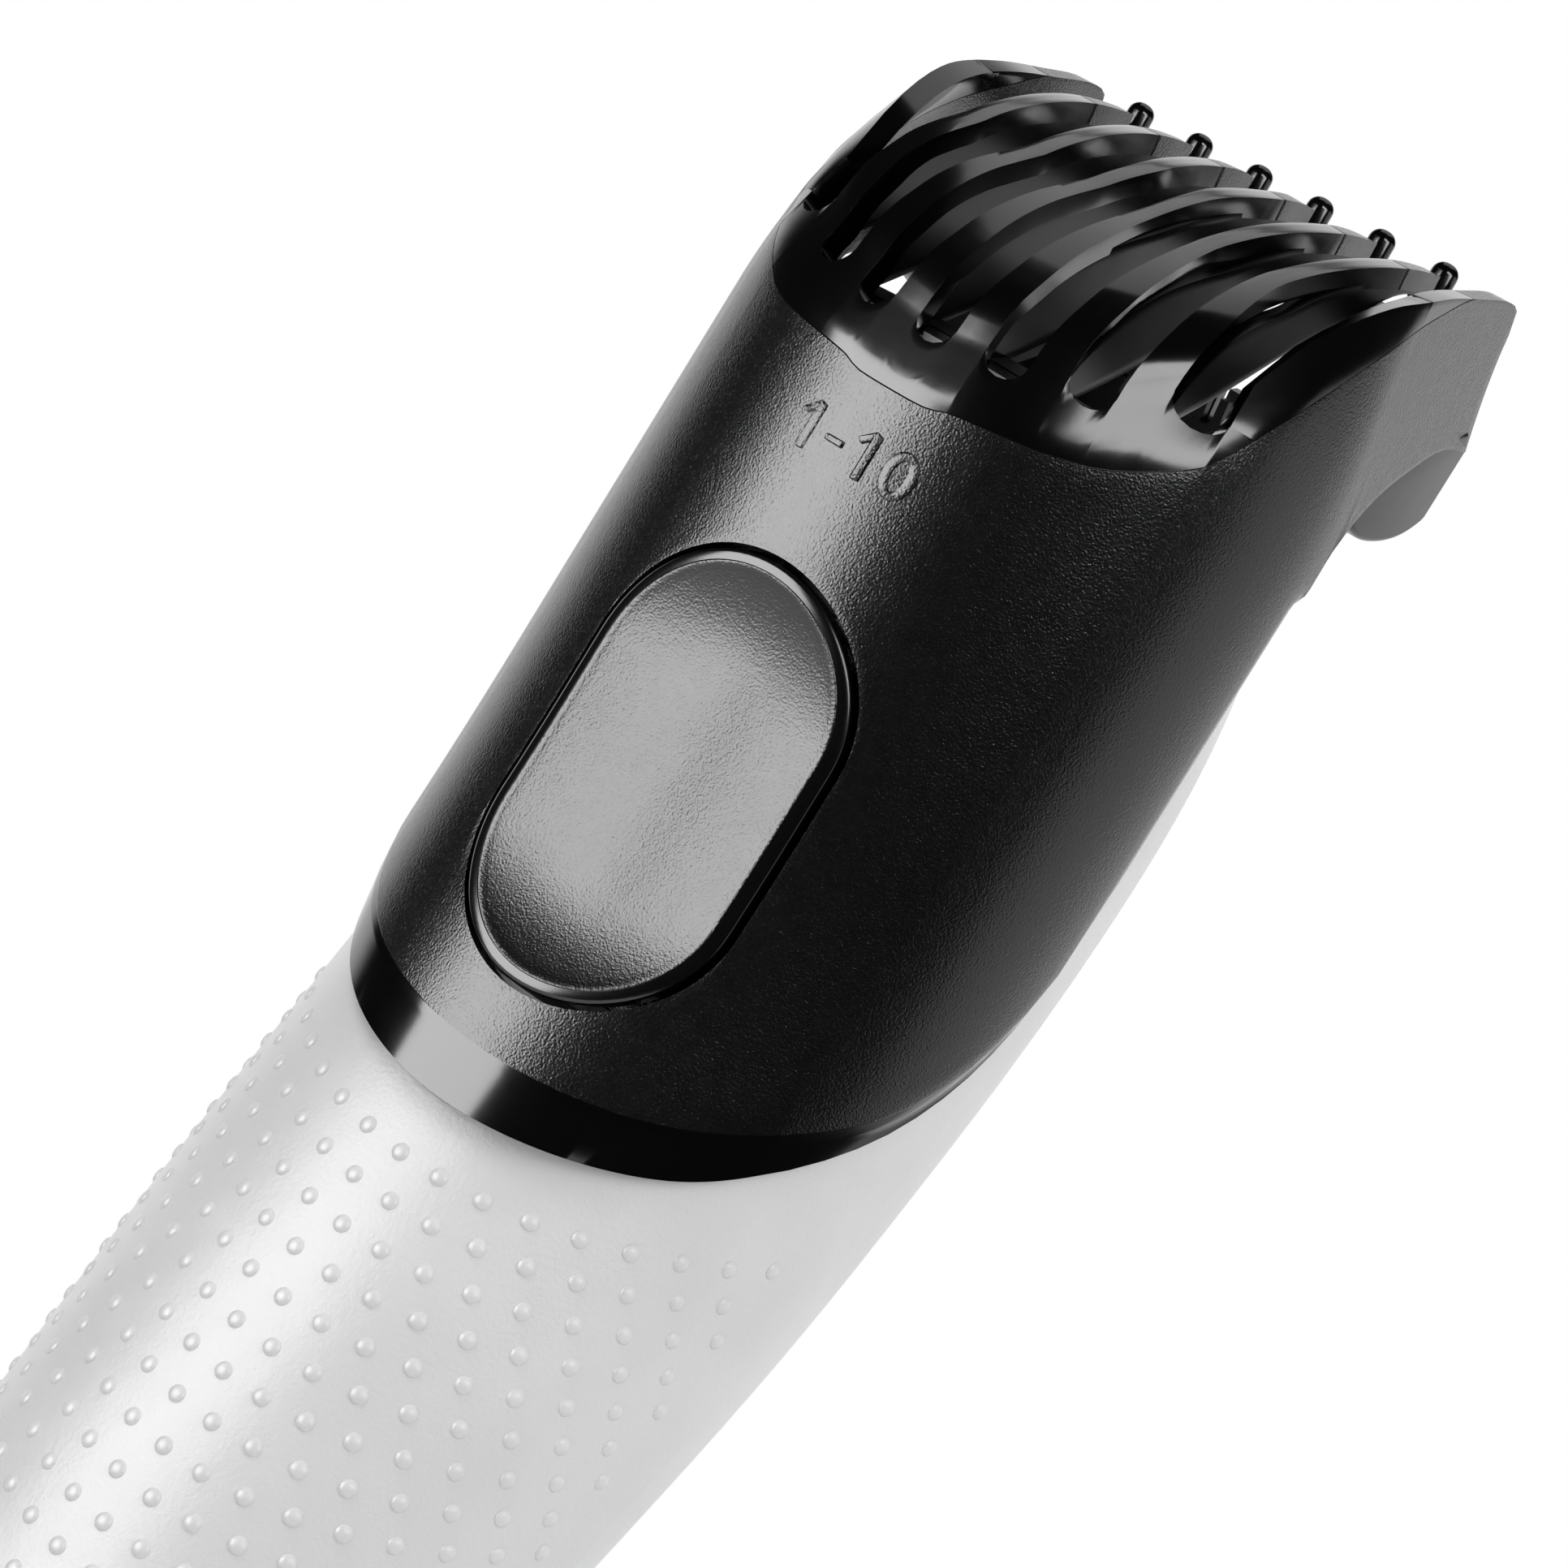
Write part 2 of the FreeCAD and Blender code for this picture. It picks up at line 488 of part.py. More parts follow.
def make_comb():
    outer, inner = comb_tube(0.0), comb_tube(COMB_WALL)
    profile = side_profile()
    wall = outer.cut(inner).common(profile)
    half_span = (TOOTH_COUNT + 1) / 2 * TOOTH_PITCH - TOOTH_T / 2
    slots = []
    for k in range(TOOTH_COUNT + 1):
        x = (k - TOOTH_COUNT / 2) * TOOTH_PITCH
        w = (TOOTH_PITCH - TOOTH_T) / 2
        slots.append(box(x - w, x + w, -30, 12, SLOT_ROOT + w, 70).fuse(
            cyl(w, 42, V(x, -30, SLOT_ROOT + w), V(0, 1, 0))))
    clear = box(-half_span, half_span, 0, 40, SLOT_ROOT, 80)
    wall = wall.cut(slots).cut(clear)
    teeth = tooth_region()
    fins = [plate_yz(teeth, TOOTH_T / 2, (k - (TOOTH_COUNT - 1) / 2) * TOOTH_PITCH).common(outer)
            for k in range(TOOTH_COUNT)]
    bar_y, bar_z, inner_w = 15.4, 61.2, comb_half_w(61.2) - 0.6
    bar = cyl(1.5, 2 * inner_w, V(-inner_w, bar_y, bar_z), V(1, 0, 0))
    posts = []
    for k in range(TOOTH_COUNT):
        x = (k - (TOOTH_COUNT - 1) / 2) * TOOTH_PITCH
        posts.append(cyl(0.9, 4.6, V(x, bar_y - 0.5, bar_z)).fuse(
            Part.makeSphere(0.9, V(x, bar_y - 0.5, bar_z + 4.6))))
    lobe_edges = [spline_yz([(2.6, 51.8), (6.0, 49.2), (11.0, 48.5), (17.0, 50.2), (20.8, 53.2),
                             (21.4, 56.4), (18.8, 58.6)]), line_yz((18.8, 58.6), (2.6, 51.8))]
    lobes = [plate_yz(Part.sortEdges(lobe_edges)[0], 0.95, side * 16.6).common(outer) for side in (-1, 1)]
    rails = bridge_frame(outer)
    opening = button_outline(0.25, -26, -16)
    comb = wall.fuse(fins + [bar] + posts + lobes).cut(opening).fuse(rails)
    return to_head(comb.removeSplitter())


def button_outline(grow, y0, y1):
    """Stadium-shaped prism of the comb button along y, grown by a clearance."""
    r, straight = BUTTON_W / 2 + grow, (BUTTON_L - BUTTON_W) / 2
    slab = box(-r, r, y0, y1, BUTTON_Z - straight, BUTTON_Z + straight)
    ends = [cyl(r, y1 - y0, V(0, y0, BUTTON_Z + s * straight), V(0, 1, 0)) for s in (-1, 1)]
    return slab.fuse(ends).removeSplitter()


def bridge_frame(outer):
    """Bridge under the button, moulded on the comb's inner wall."""
    y0, y1 = -16.3, -15.4
    frame = box(-14, 14, y0, y1, BUTTON_Z - 13.0, BUTTON_Z + 13.0)
    frame = frame.cut(box(-2.3, 2.3, -20, -10, BUTTON_Z - 6.5, BUTTON_Z + 6.5))
    frame = frame.cut(box(-20, -9.5, -20, -10, -20, 60)).cut(box(9.5, 20, -20, -10, -20, 60))
    cheeks = [box(s * 9.1 - 0.4, s * 9.1 + 0.4, -18.6, y1, BUTTON_Z - 12, BUTTON_Z + 12) for s in (-1, 1)]
    return frame.fuse(cheeks).common(outer)


def make_button():
    outer = comb_tube(-0.35)
    core = comb_tube(1.1)
    plate = outer.cut(core).common(button_outline(0.0, -30, -10))
    dish = Part.makeSphere(1.0).toNurbs()
    m = FreeCAD.Matrix()
    m.A11, m.A22, m.A33 = 7.6, 3.1, 12.6
    m.A24, m.A34 = -22.6, BUTTON_Z
    plate = plate.cut(dish.transformGeometry(m))
    backing = button_outline(-1.0, -20.0, -18.2).common(outer)
    stem = box(-1.8, 1.8, -18.6, -13.9, BUTTON_Z - 5.0, BUTTON_Z + 5.0)
    button = plate.fuse(backing).fuse(stem)
    bar = box(-4.6, 4.6, -13.9, -13.0 - 0.2, BUTTON_Z - 2.2, BUTTON_Z + 2.2)
    ridges = [box(x - 0.9, x + 0.9, -14.15, -13.9, BUTTON_Z + dz - 0.2, BUTTON_Z + dz + 0.2)
              for x in (-3.7, 3.7) for dz in (-1.0, 0.0, 1.0)]
    return to_head(button.removeSplitter()), to_head(bar.fuse(ridges))


def make_rack():
    """Two notched strips along the recess; the pawl bar runs behind them."""
    strips = []
    for s in (-1, 1):
        x0, x1 = sorted((s * 2.6, s * 5.0))
        strip = box(x0, x1, -15.1, -14.2, CHANNEL_LOW + 0.05, CHANNEL_HIGH - 0.05)
        notches = [box(x0 - 1, x1 + 1, -14.5, -14.0, BUTTON_Z - 2.3 + k, BUTTON_Z - 1.7 + k) for k in range(14)]
        strips.append(strip.cut(notches))
    ends = [box(-5.0, 5.0, -15.1, CHANNEL_FLOOR - 0.05, z, z + 1.6)
            for z in (CHANNEL_LOW + 0.05, CHANNEL_HIGH - 1.65)]
    return to_head(strips[0].fuse([strips[1]] + ends).removeSplitter())


def make_springs():
    """Two bowed strips of spring steel between the button and the bridge."""
    half_l, foot, crown, thick = 2.9, -16.35, -18.05, 0.2
    strips = []
    for z in (BUTTON_Z - 9.0, BUTTON_Z + 9.0):
        under = Part.Arc(V(0, foot, z - half_l), V(0, crown + thick, z), V(0, foot, z + half_l)).toShape()
        over = Part.Arc(V(0, foot - thick, z - half_l), V(0, crown, z),
                        V(0, foot - thick, z + half_l)).toShape()
        ends = [line_yz((foot, z + s * half_l), (foot - thick, z + s * half_l)) for s in (-1, 1)]
        strips.append(to_head(plate_yz(Part.sortEdges([under, over] + ends)[0], 1.4)))
    return strips


# ---- build --------------------------------------------------------------------------
def main():
    front, rear = make_housing()
    save("front_shell", front)
    save("rear_cover", rear)
    save("base_cap", make_base_cap())
    save("case_screws", [aimed(screw(0.95, 7.5, 2.1, 1.3), base + axis * 1.3, axis)
                         for base, axis in CASE_SCREWS])
    socket, pin, gasket = make_socket()
    save("charge_socket", socket)
    save("socket_pin", pin)
    save("socket_gasket", gasket)
    save("chassis", make_chassis())
    board, chips, board_screws, led, guide, switch = make_board()
    save("circuit_board", board)
    save("board_parts", chips)
    save("board_screws", board_screws)
    save("status_led", led)
    save("light_guide", guide)
    save("tact_switch", switch)
    cap, pad = make_power_button()
    save("power_button", cap)
    save("switch_pad", pad)
    cell, tabs, foam = make_battery()
    save("battery_cell", cell)
    save("battery_tabs", tabs)
    save("battery_pad", foam)
    battery_leads, socket_leads, motor_leads = make_leads()
    save("battery_leads", battery_leads)
    save("socket_leads", socket_leads)
    save("motor_leads", motor_leads)
    case, bell, terminals, bracket, motor_screws = make_motor()
    save("motor_case", case)
    save("motor_end_bell", bell)
    save("motor_terminals", terminals)
    save("motor_bracket", bracket)
    save("motor_screws", motor_screws)
    shaft, core, cam = make_rotor()
    save("rotor_shaft", shaft)
    save("rotor_core", core)
    save("eccentric_cam", cam)
    fixed, moving, blade_screws = make_blades()
    save("fixed_blade", fixed)
    save("moving_blade", moving)
    save("blade_screws", blade_screws)
    save("drive_fork", make_fork())
    base, seal = make_head_base()
    save("head_base", base)
    save("head_seal", seal)
    save("length_rack", make_rack())
    save("guide_comb", make_comb())
    button, pawl = make_button()
    save("comb_button", button)
    save("comb_pawl", pawl)
    save("button_springs", make_springs())


main()
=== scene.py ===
"""Looks of a cordless hair clipper with a sliding guide comb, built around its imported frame.

The head leans forward from the neck, so its pieces are drawn in a head frame, in
millimetres: x to the right, y to the back, z up the head. HEAD carries them to the
object's own frame, in metres.
"""
from __future__ import annotations

import logging
import math
from collections.abc import Callable, Iterable, Sequence
from dataclasses import dataclass
from enum import Enum
from typing import Any

import bmesh
import bpy
from mathutils import Matrix, Vector
from mathutils.bvhtree import BVHTree

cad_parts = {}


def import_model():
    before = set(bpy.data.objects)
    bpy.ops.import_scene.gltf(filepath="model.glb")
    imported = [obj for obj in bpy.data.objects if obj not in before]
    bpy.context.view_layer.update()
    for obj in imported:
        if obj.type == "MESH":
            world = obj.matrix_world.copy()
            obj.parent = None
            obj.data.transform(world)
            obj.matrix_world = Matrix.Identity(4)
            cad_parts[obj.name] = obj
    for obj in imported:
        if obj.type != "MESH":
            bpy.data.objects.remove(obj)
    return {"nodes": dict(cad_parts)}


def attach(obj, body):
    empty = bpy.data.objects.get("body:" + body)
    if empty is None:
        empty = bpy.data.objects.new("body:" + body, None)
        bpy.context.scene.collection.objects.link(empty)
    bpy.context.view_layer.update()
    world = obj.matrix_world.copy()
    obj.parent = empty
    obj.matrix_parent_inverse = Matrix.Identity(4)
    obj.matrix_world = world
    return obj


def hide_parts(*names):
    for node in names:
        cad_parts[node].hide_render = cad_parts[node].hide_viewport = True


frame: dict[str, Any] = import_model()

LOG = logging.getLogger("clipper")
MM = 0.001
LEAN = math.radians(18.0)
NECK_Y, NECK_Z = 1.8, 101.0
HEAD = Matrix.Translation((0.0, NECK_Y * MM, NECK_Z * MM)) @ Matrix.Rotation(LEAN, 4, "X") @ Matrix.Scale(MM, 4)
BODY = Matrix.Scale(MM, 4)
Colour = tuple[float, float, float]
Point = tuple[float, float]
STORED = {"polish": -1.0, "band": -9.0, "parting": 9.0}     # finish distances kept on corners, in mm


# ---- shader maths ---------------------------------------------------------------------
class Signal:
    """Number socket of a node tree that takes part in plain arithmetic."""

    def __init__(self, recipe: "Recipe", socket: bpy.types.NodeSocket) -> None:
        """Wraps one output socket of the recipe's node tree."""
        self.recipe = recipe
        self.socket = socket

    def _math(self, operation: str, *values: "Signal | float") -> "Signal":
        """Adds a Math node over the given values, in their order."""
        return self.recipe.node("ShaderNodeMath", {"operation": operation}, dict(enumerate(values)))

    def __add__(self, other: "Signal | float") -> "Signal":
        """Sum."""
        return self._math("ADD", self, other)

    def __radd__(self, other: float) -> "Signal":
        """Sum with the number first."""
        return self._math("ADD", other, self)

    def __sub__(self, other: "Signal | float") -> "Signal":
        """Difference."""
        return self._math("SUBTRACT", self, other)

    def __rsub__(self, other: float) -> "Signal":
        """Difference with the number first."""
        return self._math("SUBTRACT", other, self)

    def __mul__(self, other: "Signal | float") -> "Signal":
        """Product."""
        return self._math("MULTIPLY", self, other)

    def __rmul__(self, other: float) -> "Signal":
        """Product with the number first."""
        return self._math("MULTIPLY", other, self)

    def step(self, low: float, high: float) -> "Signal":
        """Soft step from 0 to 1.

        Args:
            low: value where it starts to rise.
            high: value where it reaches 1.

        Returns:
            The step as a signal.
        """
        return self.recipe.node(
            "ShaderNodeMapRange", {"interpolation_type": "SMOOTHSTEP"}, {0: self, 1: low, 2: high, 3: 0.0, 4: 1.0}
        )

    def size(self) -> "Signal":
        """Absolute value."""
        return self._math("ABSOLUTE", self)


class Recipe:
    """Node tree of one material, with short calls for what goes into it."""

    def __init__(self, name: str) -> None:
        """Starts a material that holds a principled shader and an output.

        Args:
            name: the material's name.
        """
        self.material = bpy.data.materials.new(name)
        self.material.use_nodes = True
        self.tree = self.material.node_tree
        self.shader = next(n for n in self.tree.nodes if n.type == "BSDF_PRINCIPLED")
        self.place = self.node("ShaderNodeTexCoord", {}, {}, "Object")

    def node(self, kind: str, settings: dict[str, Any], inputs: dict[Any, Any], output: Any = 0) -> Signal:
        """Adds any node.

        Args:
            kind: the node's type name.
            settings: properties of the node, set first.
            inputs: values or signals, by socket name or number.
            output: the socket that is given back.

        Returns:
            The chosen output as a signal.
        """
        made = self.tree.nodes.new(kind)
        for key, value in settings.items():
            setattr(made, key, value)
        for key, value in inputs.items():
            self.feed(made.inputs[key], value)
        return Signal(self, made.outputs[output])

    def feed(self, socket: bpy.types.NodeSocket, value: Any) -> None:
        """Links a signal to a socket, or sets a plain value on it.

        Args:
            socket: the input to feed.
            value: a signal, a number, or a colour of three numbers.
        """
        if isinstance(value, Signal):
            self.tree.links.new(value.socket, socket)
        elif isinstance(value, tuple) and len(value) == 3 and socket.type == "RGBA":
            socket.default_value = (*value, 1.0)
        else:
            socket.default_value = value

    def noise(self, size: float, detail: float = 2.0, stretch: Sequence[float] = (1.0, 1.0, 1.0)) -> Signal:
        """Cloudy noise from 0 to 1.

        Args:
            size: size of its features, in millimetres.
            detail: how many finer layers it has.
            stretch: scale along each axis.

        Returns:
            The noise as a signal.
        """
        scale = tuple(s / (size * MM) for s in stretch)
        turned = self.node("ShaderNodeMapping", {}, {0: self.place, "Scale": scale})
        return self.node("ShaderNodeTexNoise", {}, {"Vector": turned, "Scale": 1.0, "Detail": detail}, 0)

    def cells(self, size: float, feature: str = "SMOOTH_F1") -> Signal:
        """Distance to the nearest of scattered points, about a size apart in millimetres."""
        socket = {"Vector": self.place, "Scale": 1.0 / (size * MM)}
        return self.node("ShaderNodeTexVoronoi", {"feature": feature}, socket, 0)

    def stored(self, name: str) -> Signal:
        """Number stored on the piece's own corners."""
        return self.node("ShaderNodeAttribute", {"attribute_name": name}, {}, "Fac")

    def blend(self, factor: Any, first: Any, second: Any) -> Signal:
        """Mix of two colours."""
        return self.node("ShaderNodeMix", {"data_type": "RGBA"}, {0: factor, 6: first, 7: second}, 2)

    def relief(self, height: Signal, depth: float) -> None:
        """Raises the surface by a height signal, at most a depth in millimetres."""
        bump = self.node("ShaderNodeBump", {}, {"Height": height, "Distance": depth * MM, "Strength": 1.0})
        self.feed(self.shader.inputs["Normal"], bump)

    def set(self, **inputs: Any) -> None:
        """Sets or links inputs of the shader; underscores in names stand for spaces."""
        for key, value in inputs.items():
            self.feed(self.shader.inputs[key.replace("_", " ")], value)


# ---- finishes -------------------------------------------------------------------------
@dataclass(frozen=True)
class LeatherGrain:
    """Moulded housing with a fine leather-like grain and a pearl tone."""

    name: str
    colour: Colour
    roughness: float
    depth: float = 0.03

    def material(self) -> bpy.types.Material:
        """Makes the material.

        Returns:
            The finished material.
        """
        mix = Recipe(self.name)
        wrinkle = mix.cells(0.30) * 0.6 + mix.noise(0.13, 2.0) * 0.6
        cloud = mix.noise(9.0, 2.0)
        dark = tuple(c * 0.955 for c in self.colour)
        mix.set(Base_Color=mix.blend(cloud.step(0.35, 0.65), self.colour, dark))
        mix.set(Roughness=self.roughness + 0.05 * mix.noise(3.0), Specular_IOR_Level=0.5, Coat_Weight=0.15)
        mix.set(Coat_Roughness=0.35)
        mix.relief(wrinkle, self.depth)
        return mix.material


@dataclass(frozen=True)
class SparkGrain:
    """Dark moulded plastic with a spark-eroded grain."""

    name: str
    colour: Colour
    roughness: float
    grain: float = 0.16
    depth: float = 0.02

    def material(self) -> bpy.types.Material:
        """Makes the material.

        Returns:
            The finished material.
        """
        mix = Recipe(self.name)
        grain = mix.noise(self.grain, 3.0) * 0.7 + mix.cells(self.grain * 1.7) * 0.5
        warm = tuple(c * 1.35 for c in self.colour)
        mix.set(Base_Color=mix.blend(mix.noise(2.5).step(0.35, 0.7), self.colour, warm))
        mix.set(Roughness=self.roughness + 0.08 * mix.noise(1.2), Specular_IOR_Level=0.5)
        mix.relief(grain, self.depth)
        return mix.material


@dataclass(frozen=True)
class CombPlastic:
    """Comb plastic: grained body, polished teeth and rim band, told apart by stored distances."""

    name: str
    colour: Colour
    grained: float
    polished: float
    gloss: float = 0.95

    def material(self) -> bpy.types.Material:
        """Makes the material.

        Returns:
            The finished material.
        """
        mix = Recipe(self.name)
        polish = mix.stored("polish").step(-0.05, 0.05)
        band = mix.stored("band").step(-0.03, 0.05)
        line = 1.0 - mix.stored("parting").size().step(0.03, 0.09)
        smooth = self.node_max(mix, polish, band)
        rough = 1.0 - smooth
        grain = (mix.noise(0.13, 1.0) * 0.8 + mix.cells(0.18) * 0.4) * rough * 0.032
        flow = mix.noise(5.0, 1.0) * smooth * 0.02 + mix.noise(0.9, 2.0) * smooth * 0.0015
        step = polish * -0.035
        warm = tuple(c * 1.5 for c in self.colour)
        mix.set(Base_Color=mix.blend(rough * mix.noise(1.6).step(0.3, 0.7), self.colour, warm))
        mix.set(Roughness=rough * (self.grained + 0.06 * mix.noise(1.1))
                + smooth * (self.polished + 0.04 * mix.noise(2.0)))
        mix.set(Specular_IOR_Level=self.gloss)
        mix.relief(grain + flow + step - line * 0.05, 1.0)
        return mix.material

    @staticmethod
    def node_max(mix: Recipe, first: Signal, second: Signal) -> Signal:
        """Larger of two signals."""
        return mix.node("ShaderNodeMath", {"operation": "MAXIMUM"}, {0: first, 1: second})


@dataclass(frozen=True)
class BrushedMetal:
    """Metal with fine grinding or drawing lines along x and slight staining."""

    name: str
    colour: Colour
    roughness: float
    lines: float = 0.05

    def material(self) -> bpy.types.Material:
        """Makes the material.

        Returns:
            The finished material.
        """
        mix = Recipe(self.name)
        drawn = mix.noise(self.lines, 2.0, (0.03, 1.0, 1.0))
        stain = mix.noise(1.8, 3.0).step(0.4, 0.75)
        dull = tuple(c * 0.82 for c in self.colour)
        mix.set(Base_Color=mix.blend(stain, self.colour, dull), Metallic=1.0)
        mix.set(Roughness=self.roughness + 0.12 * drawn + 0.06 * stain)
        mix.relief(drawn, 0.004)
        return mix.material


@dataclass(frozen=True)
class BoardLacquer:
    """Solder resist with faint tracks under it and tinned pads."""

    name: str
    colour: Colour

    def material(self) -> bpy.types.Material:
        """Makes the material.

        Returns:
            The finished material.
        """
        mix = Recipe(self.name)
        weave = mix.noise(0.35, 2.0)
        tracks = mix.node("ShaderNodeTexBrick", {"offset": 0.5}, {
            "Vector": mix.place, "Scale": 1.0 / (2.6 * MM), "Mortar Size": 0.06, "Color1": (0.0, 0.0, 0.0),
            "Color2": (0.15, 0.15, 0.15), "Mortar": (1.0, 1.0, 1.0)}, 0)
        bright = tuple(min(1.0, c * 1.7) for c in self.colour)
        mix.set(Base_Color=mix.blend(tracks, self.colour, bright), Roughness=0.28 + 0.1 * weave)
        mix.relief(weave * 0.3 + tracks * 0.6, 0.02)
        return mix.material


@dataclass(frozen=True)
class Sleeve:
    """Soft or shrunk skin with fine folds, for leads, seals, the cell and pads."""

    name: str
    colour: Colour
    roughness: float
    folds: float = 0.8

    def material(self) -> bpy.types.Material:
        """Makes the material.

        Returns:
            The finished material.
        """
        mix = Recipe(self.name)
        fold = mix.noise(self.folds, 3.0)
        dusty = tuple(min(1.0, c * 1.25 + 0.02) for c in self.colour)
        mix.set(Base_Color=mix.blend(fold.step(0.45, 0.8), self.colour, dusty))
        mix.set(Roughness=self.roughness + 0.12 * fold)
        mix.relief(fold, 0.05)
        return mix.material


@dataclass(frozen=True)
class LensPlastic:
    """Clear light guide with a faint frosting inside."""

    name: str
    colour: Colour

    def material(self) -> bpy.types.Material:
        """Makes the material.

        Returns:
            The finished material.
        """
        mix = Recipe(self.name)
        frost = mix.noise(0.25, 2.0)
        mix.set(Base_Color=self.colour, Roughness=0.12 + 0.2 * frost, Transmission_Weight=0.75, IOR=1.49)
        mix.relief(frost, 0.004)
        return mix.material


class Finish(Enum):
    """Finishes of the clipper, one material each."""

    HOUSING = LeatherGrain("housing_pearl", (0.80, 0.80, 0.805), 0.36)
    DOTS = LeatherGrain("dot_pearl", (0.82, 0.82, 0.825), 0.30, 0.006)
    COMB = CombPlastic("comb_black", (0.0010, 0.0010, 0.0012), 0.22, 0.12)
    WEBS = CombPlastic("web_black", (0.0010, 0.0010, 0.0012), 0.30, 0.20, 0.16)
    BUTTON = CombPlastic("button_black", (0.0012, 0.0012, 0.0014), 0.26, 0.18)
    BASE = SparkGrain("base_black", (0.004, 0.004, 0.0045), 0.34)
    INNER = SparkGrain("inner_black", (0.003, 0.003, 0.0034), 0.40, 0.2)
    FRAME = SparkGrain("frame_natural", (0.50, 0.51, 0.49), 0.5, 0.4)
    LENS = LensPlastic("lens_clear", (0.82, 0.90, 0.86))
    BOARD = BoardLacquer("board_green", (0.012, 0.075, 0.030))
    CELL = Sleeve("cell_sleeve", (0.02, 0.11, 0.06), 0.28, 2.0)
    LEAD = Sleeve("lead_red", (0.30, 0.012, 0.010), 0.42)
    RUBBER = Sleeve("seal_rubber", (0.02, 0.02, 0.02), 0.7, 0.4)
    STEEL = BrushedMetal("plated_steel", (0.60, 0.60, 0.59), 0.26)
    # Blade colour is very dark as painted shade: it stands in for the shade inside the comb, so the blades read dark
    # through the slots.
    BLADE = BrushedMetal("blade_steel_painted_shade", (0.10, 0.10, 0.105), 0.30, 0.03)
    CONTACT = BrushedMetal("brass_contact", (0.78, 0.58, 0.28), 0.25)

    def material(self) -> bpy.types.Material:
        """Gives the finish's material, made once."""
        known = bpy.data.materials.get(self.value.name)
        return known if known is not None else self.value.material()


# ---- mesh tools -----------------------------------------------------------------------
@dataclass(frozen=True)
class Line:
    """Smooth open line through knots of the side plane (y, z), held as close points."""

    points: tuple[Point, ...]

    @classmethod
    def through(cls, knots: Sequence[Point], steps: int = 10) -> "Line":
        """Draws a smooth line through the knots.

        Args:
            knots: points that the line passes through, in order.
            steps: points added for each knot.

        Returns:
            The smooth line.
        """
        out: list[Point] = []
        ends = [knots[0], *knots, knots[-1]]
        for a, b, c, d in zip(ends, ends[1:], ends[2:], ends[3:]):
            for k in range(steps):
                t = k / steps
                out.append(tuple(
                    0.5 * (2 * b[i] + (c[i] - a[i]) * t + (2 * a[i] - 5 * b[i] + 4 * c[i] - d[i]) * t * t
                           + (3 * b[i] - a[i] - 3 * c[i] + d[i]) * t ** 3) for i in (0, 1)))
        return cls((*out, knots[-1]))

    def height(self, y: float) -> float:
        """Height of the line at a depth, for a line that runs steadily backwards.

        Args:
            y: depth, in millimetres.

        Returns:
            Height, held level beyond both ends.
        """
        pts = self.points
        if y <= pts[0][0]:
            return pts[0][1]
        for (y0, z0), (y1, z1) in zip(pts, pts[1:]):
            if y <= y1:
                return z0 + (z1 - z0) * (y - y0) / max(1e-9, y1 - y0)
        return pts[-1][1]

    def eased(self, passes: int) -> "Line":
        """Rounds the line's corners, with its ends held.

        Args:
            passes: how many times each point moves towards its neighbours.

        Returns:
            The rounded line.
        """
        pts = list(self.points)
        for _ in range(passes):
            pts = [pts[0]] + [((a[0] + 2 * b[0] + c[0]) / 4, (a[1] + 2 * b[1] + c[1]) / 4)
                              for a, b, c in zip(pts, pts[1:], pts[2:])] + [pts[-1]]
        return Line(tuple(pts))

    def spaced(self, count: int) -> "Line":
        """Copy of the line as count + 1 evenly spaced points.

        Args:
            count: number of equal runs.

        Returns:
            The evenly spaced line.
        """
        runs = [math.dist(a, b) for a, b in zip(self.points, self.points[1:])]
        total, out, k, gone = sum(runs), [], 0, 0.0
        for step in range(count + 1):
            want = total * step / count
            while k < len(runs) - 1 and gone + runs[k] < want:
                gone += runs[k]
                k += 1
            share = min(1.0, (want - gone) / max(1e-9, runs[k]))
            a, b = self.points[k], self.points[k + 1]
            out.append((a[0] + (b[0] - a[0]) * share, a[1] + (b[1] - a[1]) * share))
        return Line(tuple(out))

    def distance(self, y: float, z: float) -> float:
        """Shortest distance from a point to the line.

        Args:
            y: depth of the point.
            z: height of the point.

        Returns:
            Distance in millimetres.
        """
        best = 1e9
        for (y0, z0), (y1, z1) in zip(self.points, self.points[1:]):
            dy, dz = y1 - y0, z1 - z0
            t = max(0.0, min(1.0, ((y - y0) * dy + (z - z0) * dz) / max(1e-12, dy * dy + dz * dz)))
            best = min(best, math.hypot(y - y0 - t * dy, z - z0 - t * dz))
        return best


def ease(t: float) -> float:
    """Smooth step from 0 to 1."""
    t = min(1.0, max(0.0, t))
    return t * t * (3 - 2 * t)


def sheet(columns: int, rows: int, keep: Callable[[int, int], bool] = lambda c, r: True) -> tuple[
        bmesh.types.BMesh, dict[Any, tuple[int, int]]]:
    """Flat grid whose corners are still to be put in place.

    Args:
        columns: cells across.
        rows: cells up.
        keep: says which cells stay.

    Returns:
        The mesh, and each vertex's column and row.
    """
    bm = bmesh.new()
    for name in STORED:
        bm.verts.layers.float.new(name)
    bmesh.ops.create_grid(bm, x_segments=columns, y_segments=rows, size=0.5)

    def cell(co: Vector, shift: float) -> tuple[int, int]:
        """Column and row of a place on the flat grid."""
        return round((co.x + 0.5) * columns - shift), round((co.y + 0.5) * rows - shift)

    gone = [f for f in bm.faces if not keep(*cell(f.calc_center_median(), 0.5))]
    bmesh.ops.delete(bm, geom=gone, context="FACES")
    bm.verts.ensure_lookup_table()
    return bm, {v: cell(v.co, 0.0) for v in bm.verts}


def stadium_height(x: float, radius: float, straight: float) -> float:
    """Half height of a stadium outline at a distance from its middle line."""
    return straight + math.sqrt(max(0.0, radius * radius - x * x))


